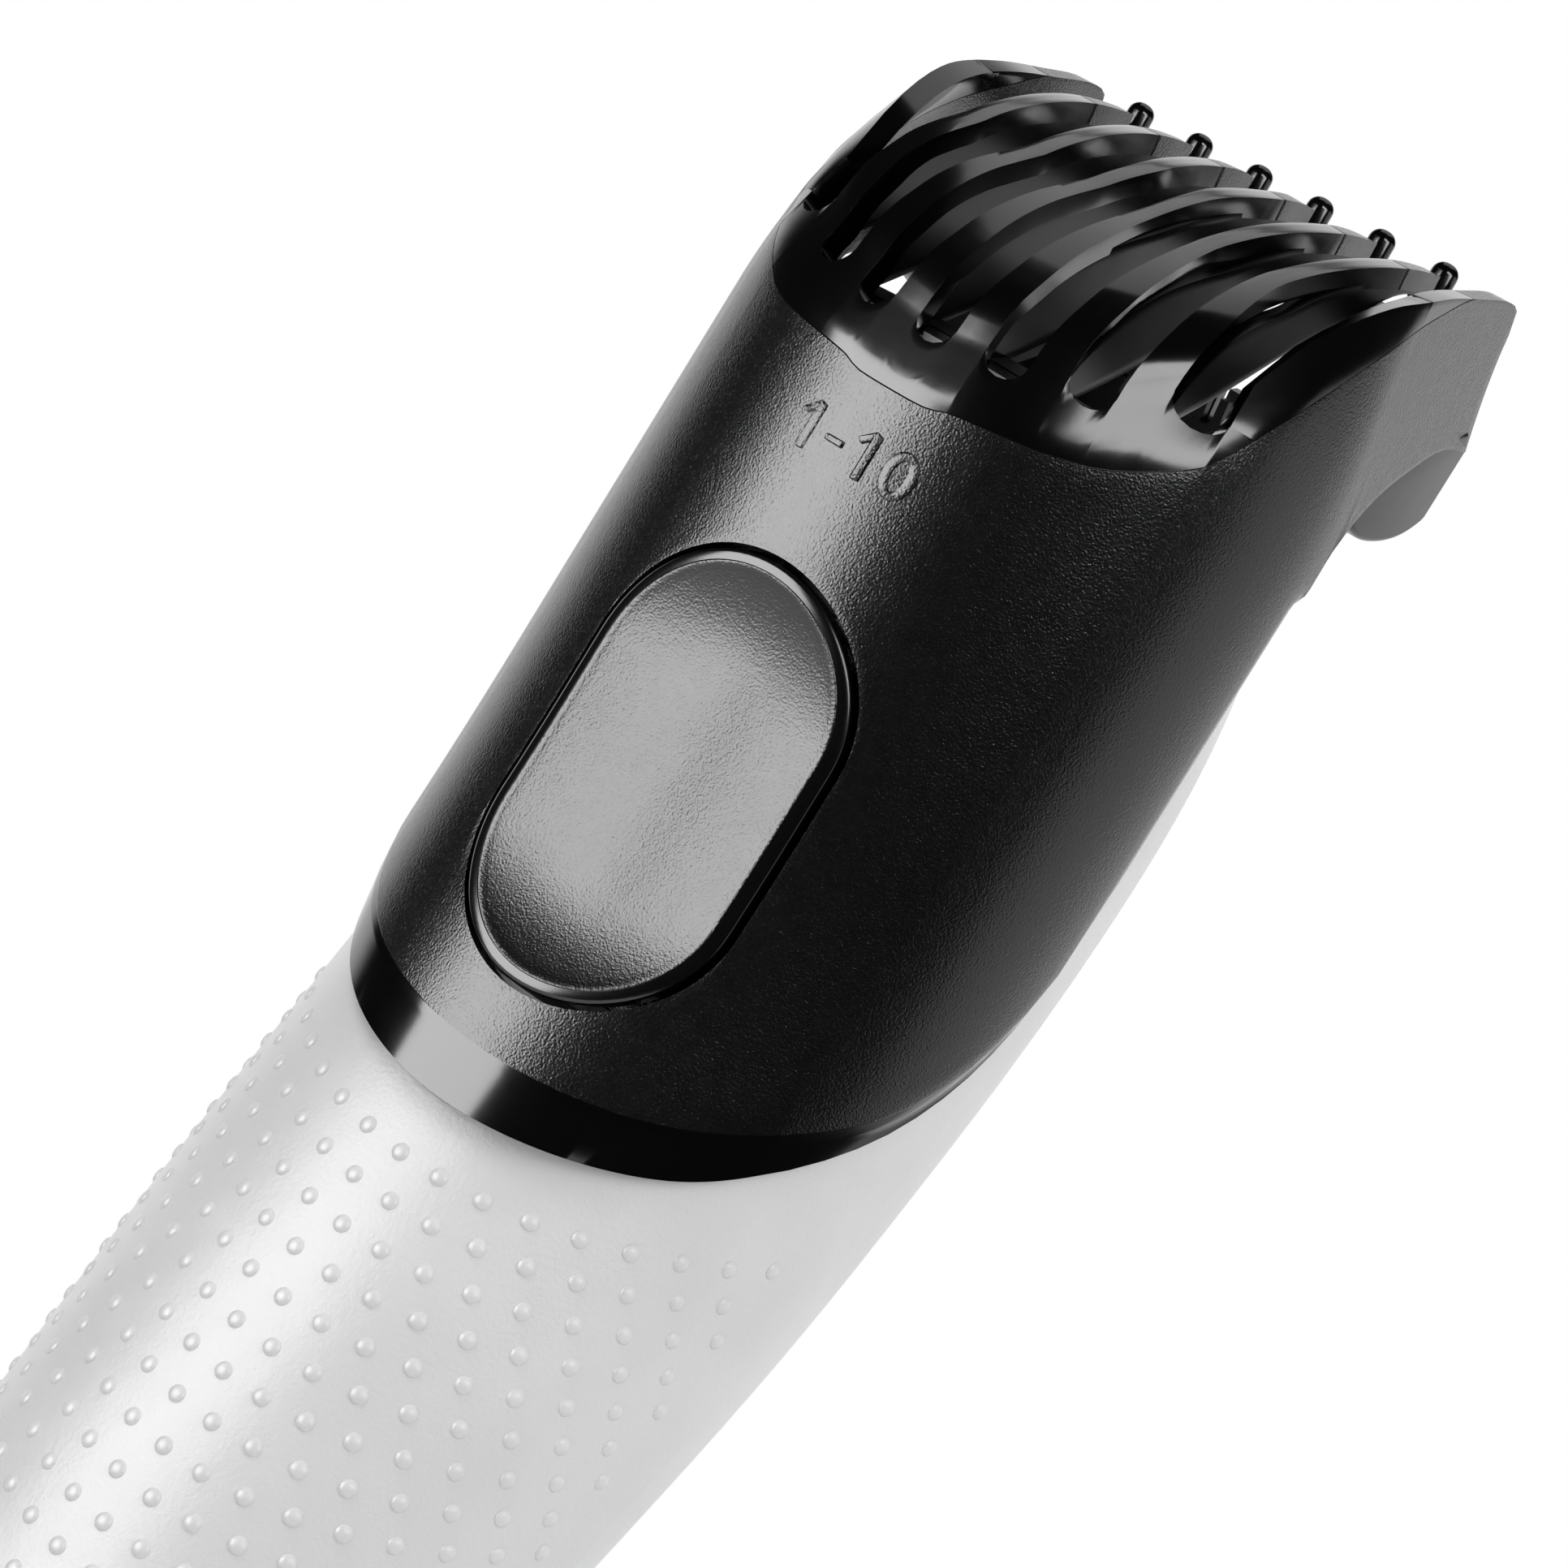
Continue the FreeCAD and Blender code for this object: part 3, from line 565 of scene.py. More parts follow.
class Piece:
    """One new piece: takes a bmesh in millimetres and makes the finished object."""

    def __init__(self, name: str, bm: bmesh.types.BMesh, place: Matrix) -> None:
        """Finishes the mesh: doubles merged, normals outwards, carried to its place.

        Args:
            name: name of the piece.
            bm: the mesh, in millimetres, which is freed.
            place: carries the mesh to the object's frame.
        """
        bmesh.ops.remove_doubles(bm, verts=bm.verts, dist=0.002)
        bmesh.ops.recalc_face_normals(bm, faces=bm.faces)
        bm.transform(place)
        mesh = bpy.data.meshes.new(name)
        bm.to_mesh(mesh)
        bm.free()
        for face in mesh.polygons:
            face.use_smooth = True
        self.item = bpy.data.objects.new(name, mesh)
        bpy.context.scene.collection.objects.link(self.item)

    def wall(self, thickness: float) -> "Piece":
        """Gives a sheet its thickness, inwards.

        Args:
            thickness: wall thickness in millimetres.

        Returns:
            The piece itself.
        """
        mod = self.item.modifiers.new("wall", "SOLIDIFY")
        mod.thickness, mod.offset, mod.use_even_offset = thickness * MM, -1.0, True
        mod.use_quality_normals = True
        return self

    def edges(self, width: float, segments: int = 3, angle: float = 38.0) -> "Piece":
        """Rounds every edge sharper than the angle.

        Args:
            width: width of the rounding in millimetres.
            segments: faces across the rounding.
            angle: smallest angle that is rounded, in degrees.

        Returns:
            The piece itself.
        """
        mod = self.item.modifiers.new("edges", "BEVEL")
        mod.width, mod.segments, mod.profile, mod.material = width * MM, segments, 0.5, -1
        mod.limit_method, mod.angle_limit, mod.use_clamp_overlap = "ANGLE", math.radians(angle), True
        return self

    def even(self) -> "Piece":
        """Weights the normals by face, so flats stay flat beside rounded edges.

        Returns:
            The piece itself.
        """
        mod = self.item.modifiers.new("even", "WEIGHTED_NORMAL")
        mod.keep_sharp = True
        return self

    def dress(self, finish: Finish, body: str, slot: str, *nodes: str) -> bpy.types.Object:
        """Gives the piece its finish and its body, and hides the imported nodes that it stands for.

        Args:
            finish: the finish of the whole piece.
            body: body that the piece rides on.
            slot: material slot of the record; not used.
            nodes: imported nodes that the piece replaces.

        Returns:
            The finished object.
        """
        self.item.data.materials.append(finish.material())
        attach(self.item, body)
        if nodes:
            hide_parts(*nodes)
        LOG.info("%s rides on %s in %s", self.item.name, body, finish.name)
        return self.item


# ---- the guide comb -------------------------------------------------------------------
@dataclass(frozen=True)
class CombForm:
    """Sizes and surfaces that the comb and its button share."""

    half_width: float = 20.0
    front: float = 20.8
    top_half_width: float = 16.8
    wall: float = 1.4
    pitch: float = 4.74
    tooth: float = 1.3
    tooth_foot: float = 2.1
    teeth: int = 6
    slot_root: float = 43.4
    root_rise: float = 3.6
    button_z: float = 14.7
    button_radius: float = 8.5
    button_straight: float = 5.3
    gap: float = 0.38
    lean: float = 0.22
    lean_start: float = 1.0
    lean_height: float = 5.2
    lean_end: float = 15.0

    vault = Line.through([(-20.9, 42.0), (-20.4, 46.4), (-18.3, 50.2), (-13.4, 54.4), (-4.6, 59.4), (2.9, 62.7),
                          (9.0, 64.7), (13.7, 66.1), (16.9, 66.45)])
    rim = Line.through([(-24.4, -7.05), (-23.4, -6.7), (-17.0, -3.7), (-11.5, 0.3), (-6.4, 5.0), (-2.2, 10.4),
                        (0.2, 16.0), (0.8, 23.0)])
    lip = Line.through([(0.8, 42.0), (1.6, 46.6), (4.6, 50.2), (9.3, 53.4), (14.6, 56.2), (19.6, 57.4)])
    web = Line.through([(-21.5, 41.6), (-16.2, 44.6), (-10.2, 48.8), (-5.7, 52.4), (-2.0, 55.4), (1.5, 57.8),
                        (5.0, 60.4), (8.0, 62.3), (11.2, 63.4), (13.0, 63.1)])
    gloss = Line.through([(-22.0, 40.0), (-20.75, 40.05), (-20.2, 40.7), (-17.6, 41.8), (-15.7, 43.2), (-12.4, 46.2),
                          (-10.4, 49.4), (-6.0, 54.6), (-1.0, 58.9), (3.2, 61.7), (9.0, 64.9), (20.0, 68.5)])

    def front_at(self, z: float) -> float:
        """Depth of the comb's front, which flares towards the rim."""
        return -(self.front + 0.00527 * max(0.0, 16.0 - z) ** 2)

    def half_at(self, z: float) -> float:
        """Half width of the comb, drawn in towards its top."""
        return self.half_width - (self.half_width - self.top_half_width) * ease((z - 42.0) / 24.0)

    def depth(self, x: float, z: float) -> float:
        """Depth of the outer surface at a distance from the middle."""
        return self.front_at(z) * math.sqrt(max(0.0, 1 - (x / self.half_at(z)) ** 2))

    def across(self, y: float, z: float) -> float:
        """Half width of the outer surface at a depth.

        Args:
            y: depth.
            z: height.

        Returns:
            Half width in millimetres.
        """
        if y >= 0:
            return self.half_at(z)
        return self.half_at(z) * math.sqrt(max(0.0, 1 - (y / self.front_at(z)) ** 2))

    def set_back(self, above: float) -> float:
        """How far the polished zone leans back, at a height above its lower line.

        Args:
            above: height above the zone's lower line, in millimetres.

        Returns:
            Distance that the surface stands back.
        """
        above = max(0.0, above)
        if above < self.lean_start:
            return self.lean * above ** 2 / (2 * self.lean_start)
        full = self.lean * (min(above, self.lean_height) - self.lean_start / 2)
        return full * (1 - ease((above - self.lean_height) / self.lean_end))

    def outward(self, x: float, y: float, z: float) -> Vector:
        """Outward direction of the surface, level with the head.

        Args:
            x: distance from the middle.
            y: depth.
            z: height.

        Returns:
            Unit direction with no height.
        """
        if y >= 0:
            return Vector((1.0 if x > 0 else -1.0, 0.0, 0.0))
        half, front = self.half_at(z), self.front_at(z)
        return Vector((x / half ** 2, y / front ** 2, 0.0)).normalized()


class CombGrid:
    """Places of the comb wall's grid corners: columns from the middle to the back edge."""

    SIDE, WING = 14, 18
    BAND_ROWS = (0.0, 0.5, 0.97, 1.05)
    LOW, BUTTON, NECK, TOP = 6, 14, 24, 36
    BUTTON_COLUMNS = 20
    SPREAD_FROM, SPREAD_OVER = 31.0, 12.0       # heights where button columns turn into tooth columns
    WING_START, WING_END = 0.8, 19.6            # depths of the wing's front and back edges
    WING_CUT, WING_CUT_FROM, WING_CUT_OVER = 2.6, 57.4, 8.2
    FRONT_CORNER, CORNER_DROP, BACK_CORNER = 7.0, 0.72, 1.6
    PATH_START, PATH_STEP, PATH_POINTS, PATH_BLEND = 34.0, 0.4, 130, 5.0
    TIP = (12.6, 65.35)                         # depth and height of the teeth's tips
    RIM_BAND, RIM_BAND_CUT = 3.0, 1.75          # width of the polished rim at its front, and what it loses

    def __init__(self, form: CombForm) -> None:
        """Works out the columns' places at the teeth and beside the button.

        Args:
            form: sizes of the comb.
        """
        self.form = form
        self.upper_x = self.slot_places((form.pitch - form.tooth) / 2)
        xs = self.slot_places((form.pitch - form.tooth_foot) / 2)
        self.slot_x = xs
        self.edge = len(xs) - 1
        self.back = self.edge + self.SIDE
        self.columns = self.back + self.WING
        opening = form.button_radius + form.gap
        self.button_x = [opening * math.sin(math.pi / 2 * c / self.BUTTON_COLUMNS)
                         for c in range(self.BUTTON_COLUMNS + 1)]
        rest = self.edge - self.BUTTON_COLUMNS
        self.button_x += [opening + (xs[-1] - opening) * k / rest for k in range(1, rest + 1)]
        self.marks = [len(self.BAND_ROWS) - 1]
        for count in (self.LOW, self.BUTTON, self.NECK, self.TOP):
            self.marks.append(self.marks[-1] + count)
        self.rows = self.marks[-1]
        self.rim_points = self.side_rim()
        self.paths = {c: self.tooth_path(c) for c in range(self.edge + 1)}

    def slot_places(self, half_slot: float) -> list[float]:
        """Distances of the columns from the middle, with the slots' cells and roots noted.

        Args:
            half_slot: half width of a slot.

        Returns:
            One distance for each column, from the middle to the last slot's outer side.
        """
        form = self.form
        turns = [half_slot * math.sin(math.radians(90 * k / 4)) for k in range(5)]
        xs, self.slot_cells = list(turns), set(range(4))
        self.slot_drop = [self.root(0.0, half_slot, t) for t in turns]
        for slot in range(1, form.teeth // 2 + 1):
            centre = slot * form.pitch
            start, low, high = xs[-1], self.slot_drop[-1], self.root(centre, half_slot, half_slot)
            for k in (1, 2, 3):
                xs.append(start + (centre - half_slot - start) * k / 3)
                self.slot_drop.append(low + (high - low) * k / 3)
            self.slot_cells |= set(range(len(xs) - 1, len(xs) + 7))
            for t in [-t for t in turns[-2::-1]] + turns[1:]:
                xs.append(centre + t)
                self.slot_drop.append(self.root(centre, half_slot, t))
        return xs

    def root(self, centre: float, half_slot: float, t: float) -> float:
        """Height of a slot's round root, at t from the slot's middle, above the lowest root.

        Args:
            centre: distance of the slot from the comb's middle.
            half_slot: half width of the slot.
            t: distance from the slot's own middle.

        Returns:
            Height in millimetres.
        """
        rise = self.form.root_rise * (centre / (3 * self.form.pitch)) ** 2.4
        return rise + half_slot - math.sqrt(max(0.0, half_slot ** 2 - t * t))

    def front_x(self, c: int, z: float) -> float:
        """Distance of a front column from the middle.

        Args:
            c: column.
            z: height.

        Returns:
            Distance in millimetres.
        """
        share = ease((z - self.SPREAD_FROM) / self.SPREAD_OVER)
        return self.button_x[c] * (1 - share) + self.slot_x[c] * share

    def rim_z(self, c: int) -> float:
        """Height of the rim at a front column.

        Args:
            c: column.

        Returns:
            Height in millimetres.
        """
        z = 0.0
        for _ in range(12):
            z = self.form.rim.height(self.form.depth(self.front_x(c, z), z))
        return z

    def side_rim(self) -> list[Point]:
        """Rim points of the side columns, evenly spaced along the rim.

        Returns:
            Depth and height of each point.
        """
        z = self.rim_z(self.edge)
        y = self.form.depth(self.button_x[self.edge], z)
        line = Line(((y, z), *[p for p in self.form.rim.points if p[0] > y + 0.05]))
        return list(line.spaced(self.SIDE).points)

    def side_y(self, c: int, z: float) -> float:
        """Depth of a side or wing column at a height.

        Args:
            c: column.
            z: height.

        Returns:
            Depth in millimetres.
        """
        if c > self.back:
            cut = min(1.0, max(0.0, (z - self.WING_CUT_FROM) / self.WING_CUT_OVER))
            far = self.WING_END - self.WING_CUT * cut
            return self.WING_START + (far - self.WING_START) * (c - self.back) / self.WING
        first, last = self.rim_points[0][0], self.rim_points[-1][0]
        share = (self.rim_points[c - self.edge][0] - first) / (last - first)
        near = self.form.depth(self.front_x(self.edge, z), z)
        return near + (self.WING_START - near) * share

    def top_z(self, c: int) -> float:
        """Height of the wall's top edge at a side or wing column.

        Args:
            c: column.

        Returns:
            Height in millimetres.
        """
        z = 58.0
        for _ in range(14):
            z = 0.5 * z + 0.5 * self.form.vault.height(self.side_y(c, z))
        near, wide = self.side_y(c, z) - self.side_y(self.edge, z), self.FRONT_CORNER
        if near < wide:
            z -= self.CORNER_DROP * (wide - math.sqrt(wide ** 2 - (wide - near) ** 2))
        y, round_r = self.side_y(c, z), self.BACK_CORNER
        over = y - (self.side_y(self.columns, z) - round_r)
        return z - (round_r - math.sqrt(max(0.0, round_r ** 2 - over ** 2)) if over > 0 else 0.0)

    def tooth_path(self, c: int) -> Line:
        """Line that a tooth column follows from the slot root over the vault to its tip.

        Args:
            c: column.

        Returns:
            The evenly spaced line.
        """
        form, x = self.form, self.slot_x[c]
        wall, z = [], self.PATH_START
        while z < 60 and form.depth(x, z) < 0 and z < form.vault.height(form.depth(x, z)) - 0.05:
            wall.append((form.depth(x, z), z))
            z += self.PATH_STEP
        arch = [(y, v) for y, v in form.vault.points if wall[-1][0] + 0.3 < y < self.TIP[0] - 0.3]
        passes = int(30 + 230 * ease(x / 13.0))     # outer teeth turn over in a wider curve
        line = Line((*wall, *arch, self.TIP)).spaced(self.PATH_POINTS).eased(passes)
        low = form.slot_root + self.slot_drop[c]
        kept = []
        for y, z in line.points:
            if z > low + 0.05:
                share = ease((z - low) / self.PATH_BLEND)
                kept.append((y * share + min(y, form.depth(x, z)) * (1 - share), z))
        return Line(((form.depth(x, low), low), *kept)).spaced(self.TOP)

    def levels(self, c: int) -> list[float]:
        """Heights of the guide rows of a column: rim, band, button low and high, slot root.

        Args:
            c: column.

        Returns:
            The five heights.
        """
        form = self.form
        root = form.slot_root + self.slot_drop[min(c, self.edge)]
        if c <= self.edge:
            inner = stadium_height(self.button_x[min(c, self.BUTTON_COLUMNS)], form.button_radius + form.gap,
                                   form.button_straight)
            rim = self.rim_z(c)
            return [rim, rim + self.band(rim), form.button_z - inner, form.button_z + inner, root]
        if c > self.back:
            return [0.0, 0.0, 0.0, 0.0, form.lip.height(self.side_y(c, 50.0))]
        edge = self.levels(self.edge)
        rim = self.rim_points[c - self.edge][1]
        share = (c - self.edge) / self.SIDE
        root = root + (42.0 - root) * ease(share)
        shares = [(v - edge[1]) / (edge[4] - edge[1]) for v in edge]
        low = rim + self.band(rim)
        return [rim, low, low + (root - low) * shares[2], low + (root - low) * shares[3], root]

    def band(self, rim: float) -> float:
        """Width of the polished rim band where the rim is at a height."""
        return self.RIM_BAND - self.RIM_BAND_CUT * ease((rim + 7.0) / 12.0)

    def corner(self, c: int, r: int, levels: list[float]) -> Vector:
        """Place of the corner at a column and a row, on the smooth outer surface.

        Args:
            c: column.
            r: row.
            levels: heights of the column's guide rows.

        Returns:
            The corner's place in the head frame.
        """
        form = self.form
        marks = self.marks
        if r > marks[3]:
            if c < self.edge:
                y, z = self.paths[c].points[r - marks[3]]
                share = ease((r - marks[3]) / (0.5 * self.TOP))
                return Vector((self.slot_x[c] * (1 - share) + self.upper_x[c] * share, y, z))
            top = self.top_z(c)
            z = levels[4] + (top - levels[4]) * (r - marks[3]) / (marks[4] - marks[3])
        elif r <= marks[0]:
            z = levels[0] + (levels[1] - levels[0]) * self.BAND_ROWS[r]
        else:
            k = next(i for i in (1, 2, 3) if r <= marks[i])
            share = (r - marks[k - 1]) / (marks[k] - marks[k - 1])
            low = levels[0] + (levels[1] - levels[0]) * self.BAND_ROWS[-1] if k == 1 else levels[k]
            z = low + (levels[k + 1] - low) * share
        if c <= self.edge:
            x = self.front_x(c, z)
            return Vector((x, form.depth(x, z), z))
        y = self.side_y(c, z)
        return Vector((form.across(y, z), y, z))

    def keep(self, c: int, r: int) -> bool:
        """Whether a cell is part of the wall.

        Args:
            c: column of the cell.
            r: row of the cell.

        Returns:
            False where the wall has an opening.
        """
        if c < self.BUTTON_COLUMNS and self.marks[1] <= r < self.marks[2]:
            return False
        if r >= self.marks[3] and c in self.slot_cells:
            return False
        return not (c >= self.back and r < self.marks[3])


@dataclass
class GuideComb:
    """Sliding guide comb: wall with its teeth, webs, cross bar, posts, flanges and bridge."""

    form: CombForm
    chamfer: float = 0.6
    edge_round: float = 0.16
    web_thickness: float = 0.95
    bar_y: float = 15.4
    bar_z: float = 61.2
    bar_radius: float = 1.5
    post_radius: float = 0.9
    post_height: float = 5.5
    flange_x: float = 16.0
    flange_thickness: float = 1.7
    flange_points: int = 46
    plate_y: float = -16.3
    plate_half_width: float = 9.5
    plate_half_height: float = 13.0
    plate_thickness: float = 0.9
    window_half_width: float = 2.3
    numeral_z: float = 36.1
    # bars of the numerals: place across, height, width, length and turn in degrees
    strokes: tuple[tuple[float, float, float, float, float], ...] = (
        (-3.0, 0.0, 0.5, 2.9, 0.0), (-3.42, 1.03, 0.42, 1.15, 48.0), (-1.15, -0.1, 1.2, 0.42, 0.0),
        (0.95, 0.0, 0.5, 2.9, 0.0), (0.53, 1.03, 0.42, 1.15, 48.0))
    # ring of the numerals: place across, half width, half height and stroke
    ring: tuple[float, float, float, float] = (3.1, 1.0, 1.47, 0.5)

    def build(self) -> None:
        """Makes and dresses every piece of the comb."""
        self.shell()
        self.webs()
        self.bar_and_posts()
        self.flanges()
        self.bridge()
        self.numerals()

    def shell(self) -> None:
        """Wall and tooth rails from one grid, mirrored, then given its thickness."""
        grid = CombGrid(self.form)
        bm, places = sheet(grid.columns, grid.rows, grid.keep)
        layers = {name: bm.verts.layers.float[name] for name in STORED}
        levels = {c: grid.levels(c) for c in range(grid.columns + 1)}
        outline = Line((*self.form.rim.points, (0.8, 42.0)))
        parting = Line(((4.6, 61.9), (12.6, 51.7)))
        for vert, (c, r) in places.items():
            co = grid.corner(c, r, levels[c])
            vert[layers["polish"]] = co.z - self.form.gloss.height(co.y)
            off = outline.distance(co.y, co.z) if co.z < 45 else 9.0
            width = grid.band(min(co.z, self.form.rim.height(co.y)))
            vert[layers["band"]] = width - off
            vert[layers["parting"]] = parting.distance(co.y, co.z) if c > grid.edge else 9.0
            set_back = self.form.set_back(vert[layers["polish"]])
            co = co - self.form.outward(*co) * set_back * (1 - ease((c - grid.edge) / grid.SIDE))
            if off < width:
                co = co - self.form.outward(*co) * self.chamfer * (1 - off / width)
            vert.co = co
        bmesh.ops.mirror(bm, geom=[*bm.verts, *bm.edges, *bm.faces], axis="X", merge_dist=0.01)
        piece = Piece("comb_wall", bm, HEAD).wall(self.form.wall).edges(self.edge_round).even()
        piece.dress(Finish.COMB, "comb", "comb_plastic", "guide_comb")

    def webs(self) -> None:
        """Thin webs under the tooth rails, one for each tooth."""
        grid = CombGrid(self.form)
        whole = bmesh.new()
        for k in range(self.form.teeth):
            x = (k - (self.form.teeth - 1) / 2) * self.form.pitch
            column = min(range(grid.edge), key=lambda c: abs(grid.slot_x[c] - abs(x)))
            path = grid.paths[column]
            count, depth = len(path.points) - 1, 6
            bm, places = sheet(count, depth)
            start = path.points[0][0]
            for vert, (c, r) in places.items():
                y, z = path.points[c]
                facing = max(0.5, -self.form.outward(x, y, z).y)
                back = self.form.set_back(z - self.form.gloss.height(y)) / facing
                ahead, behind = path.points[min(count, c + 1)], path.points[max(0, c - 1)]
                run = Vector((ahead[0] - behind[0], ahead[1] - behind[1])).normalized()
                top = Vector((y + run.y * 0.95, z - run.x * 0.95))
                low_y = start + 0.9 + (13.0 - start - 0.9) * c / count
                low = Vector((low_y, self.form.web.height(low_y)))
                if c < 3:
                    low.y = min(low.y, top.y - 0.2)
                spot = top.lerp(low, r / depth)
                spot.x += back * (1 - r / depth)
                vert.co = Vector((x - self.web_thickness / 2, spot.x, spot.y))
            solid = bmesh.ops.extrude_face_region(bm, geom=list(bm.faces))
            moved = [g for g in solid["geom"] if isinstance(g, bmesh.types.BMVert)]
            bmesh.ops.translate(bm, verts=moved, vec=(self.web_thickness, 0, 0))
            self.merge(whole, bm)
        piece = Piece("comb_webs", self.stored(whole, 1.0), HEAD).edges(0.2, 2)
        piece.dress(Finish.WEBS, "comb", "comb_plastic", "guide_comb")

    @staticmethod
    def merge(whole: bmesh.types.BMesh, part: bmesh.types.BMesh) -> None:
        """Adds one mesh to another and frees it.

        Args:
            whole: the mesh that grows.
            part: the mesh that is added and freed.
        """
        mesh = bpy.data.meshes.new("part")
        part.to_mesh(mesh)
        part.free()
        whole.from_mesh(mesh)
        bpy.data.meshes.remove(mesh)

    @staticmethod
    def stored(bm: bmesh.types.BMesh, polish: float) -> bmesh.types.BMesh:
        """Stores the same finish distances on every corner of a mesh.

        Args:
            bm: the mesh.
            polish: height above the polished zone's lower line.

        Returns:
            The mesh itself.
        """
        for name, value in {**STORED, "polish": polish}.items():
            layer = bm.verts.layers.float.get(name) or bm.verts.layers.float.new(name)
            for vert in bm.verts:
                vert[layer] = value
        return bm

    def bar_and_posts(self) -> None:
        """Round cross bar between the walls with a round-topped post behind each tooth."""
        bm = bmesh.new()
        half = self.form.half_at(self.bar_z) - 0.7
        turn = Matrix.Translation((0, self.bar_y, self.bar_z)) @ Matrix.Rotation(math.pi / 2, 4, "Y")
        bmesh.ops.create_cone(bm, cap_ends=True, segments=32, radius1=self.bar_radius, radius2=self.bar_radius,
                              depth=2 * half, matrix=turn)
        for k in range(self.form.teeth):
            x = (k - (self.form.teeth - 1) / 2) * self.form.pitch
            spot = Matrix.Translation((x, self.bar_y - 0.5, self.bar_z + self.post_height / 2))
            made = bmesh.ops.create_cone(bm, cap_ends=True, segments=24, radius1=self.post_radius + 0.12,
                                         radius2=self.post_radius, depth=self.post_height, matrix=spot)
            top = [v for v in made["verts"] if v.co.z > self.bar_z + 5]
            rim = [e for e in bm.edges if e.verts[0] in top and e.verts[1] in top]
            bmesh.ops.bevel(bm, geom=rim, offset=0.75, segments=6, affect="EDGES", profile=0.5, material=-1)
        piece = Piece("comb_bar", self.stored(bm, 1.0), HEAD).edges(0.15, 2)
        piece.dress(Finish.COMB, "comb", "comb_plastic", "guide_comb")

    def flanges(self) -> None:
        """Rounded inner flange on each wall, below the back corner."""
        line = Line.through([(2.6, 52.0), (6.0, 49.3), (11.0, 48.5), (17.0, 50.2), (20.6, 53.2), (21.2, 56.2),
                             (18.6, 58.6)]).spaced(self.flange_points)
        whole = bmesh.new()
        for side in (-1, 1):
            bm = bmesh.new()
            made = bmesh.ops.create_circle(bm, cap_ends=True, segments=len(line.points), radius=1.0)
            ring = sorted(made["verts"], key=lambda v: math.atan2(v.co.y, v.co.x))
            for vert, (y, z) in zip(ring, line.points):
                vert.co = Vector((side * self.flange_x, min(y, 19.9), z))
            solid = bmesh.ops.extrude_face_region(bm, geom=list(bm.faces))
            moved = [g for g in solid["geom"] if isinstance(g, bmesh.types.BMVert)]
            bmesh.ops.translate(bm, verts=moved, vec=(side * self.flange_thickness, 0, 0))
            self.merge(whole, bm)
        piece = Piece("comb_flanges", self.stored(whole, 1.0), HEAD).edges(0.8, 5)
        piece.dress(Finish.WEBS, "comb", "comb_plastic", "guide_comb")

    def bridge(self) -> None:
        """Slotted plate under the button, with its two cheeks."""
        rows, columns = 26, 19
        bm, places = sheet(columns, rows, lambda c, r: not (7 <= c < 12 and 7 <= r < 19))
        for vert, (c, r) in places.items():
            x = self.plate_half_width * (2 * c / columns - 1)
            x = {7: -self.window_half_width, 12: self.window_half_width}.get(c, x)
            z = self.form.button_z + self.plate_half_height * (2 * r / rows - 1)
            vert.co = Vector((x, self.plate_y, z))
        solid = bmesh.ops.extrude_face_region(bm, geom=list(bm.faces))
        moved = [g for g in solid["geom"] if isinstance(g, bmesh.types.BMVert)]
        bmesh.ops.translate(bm, verts=moved, vec=(0, self.plate_thickness, 0))
        for side in (-1, 1):
            made = bmesh.ops.create_cube(bm, size=1.0)
            cheek = Matrix.Translation((side * 9.1, -16.4, self.form.button_z))
            bmesh.ops.transform(bm, matrix=cheek @ Matrix.Diagonal((0.8, 1.9, 24.0, 1.0)), verts=made["verts"])
        piece = Piece("comb_bridge", self.stored(bm, -1.0), HEAD).edges(0.15, 2)
        piece.dress(Finish.COMB, "comb", "comb_plastic", "guide_comb")

    def numerals(self) -> None:
        """Raised setting numbers above the button, wrapped on the wall."""
        whole = bmesh.new()
        for x, z, width, height, turn in self.strokes:
            bm = bmesh.new()
            bmesh.ops.create_cube(bm, size=1.0)
            bm.transform(Matrix.Translation((x, 0, z)) @ Matrix.Rotation(math.radians(turn), 4, "Y")
                         @ Matrix.Diagonal((width, 0.4, height, 1.0)))
            self.merge(whole, bm)
        around = 44
        bm, places = sheet(around, 1)
        x, half_width, half_height, stroke = self.ring
        for vert, (c, r) in places.items():
            angle = math.tau * c / around
            vert.co = Vector((x + (half_width - stroke * r) * math.sin(angle), -0.2,
                              (half_height - stroke * r) * math.cos(angle)))
        bmesh.ops.remove_doubles(bm, verts=bm.verts, dist=0.001)
        solid = bmesh.ops.extrude_face_region(bm, geom=list(bm.faces))
        moved = [g for g in solid["geom"] if isinstance(g, bmesh.types.BMVert)]
        bmesh.ops.translate(bm, verts=moved, vec=(0, 0.4, 0))
        self.merge(whole, bm)
        for vert in whole.verts:
            x, lift, z = vert.co.x, -vert.co.y, self.numeral_z + vert.co.z
            vert.co = Vector((x, self.form.depth(x, z), z)) + self.form.outward(x, -1.0, z) * lift
        piece = Piece("comb_numerals", self.stored(whole, -1.0), HEAD).edges(0.1, 3)
        piece.dress(Finish.COMB, "comb", "comb_plastic")


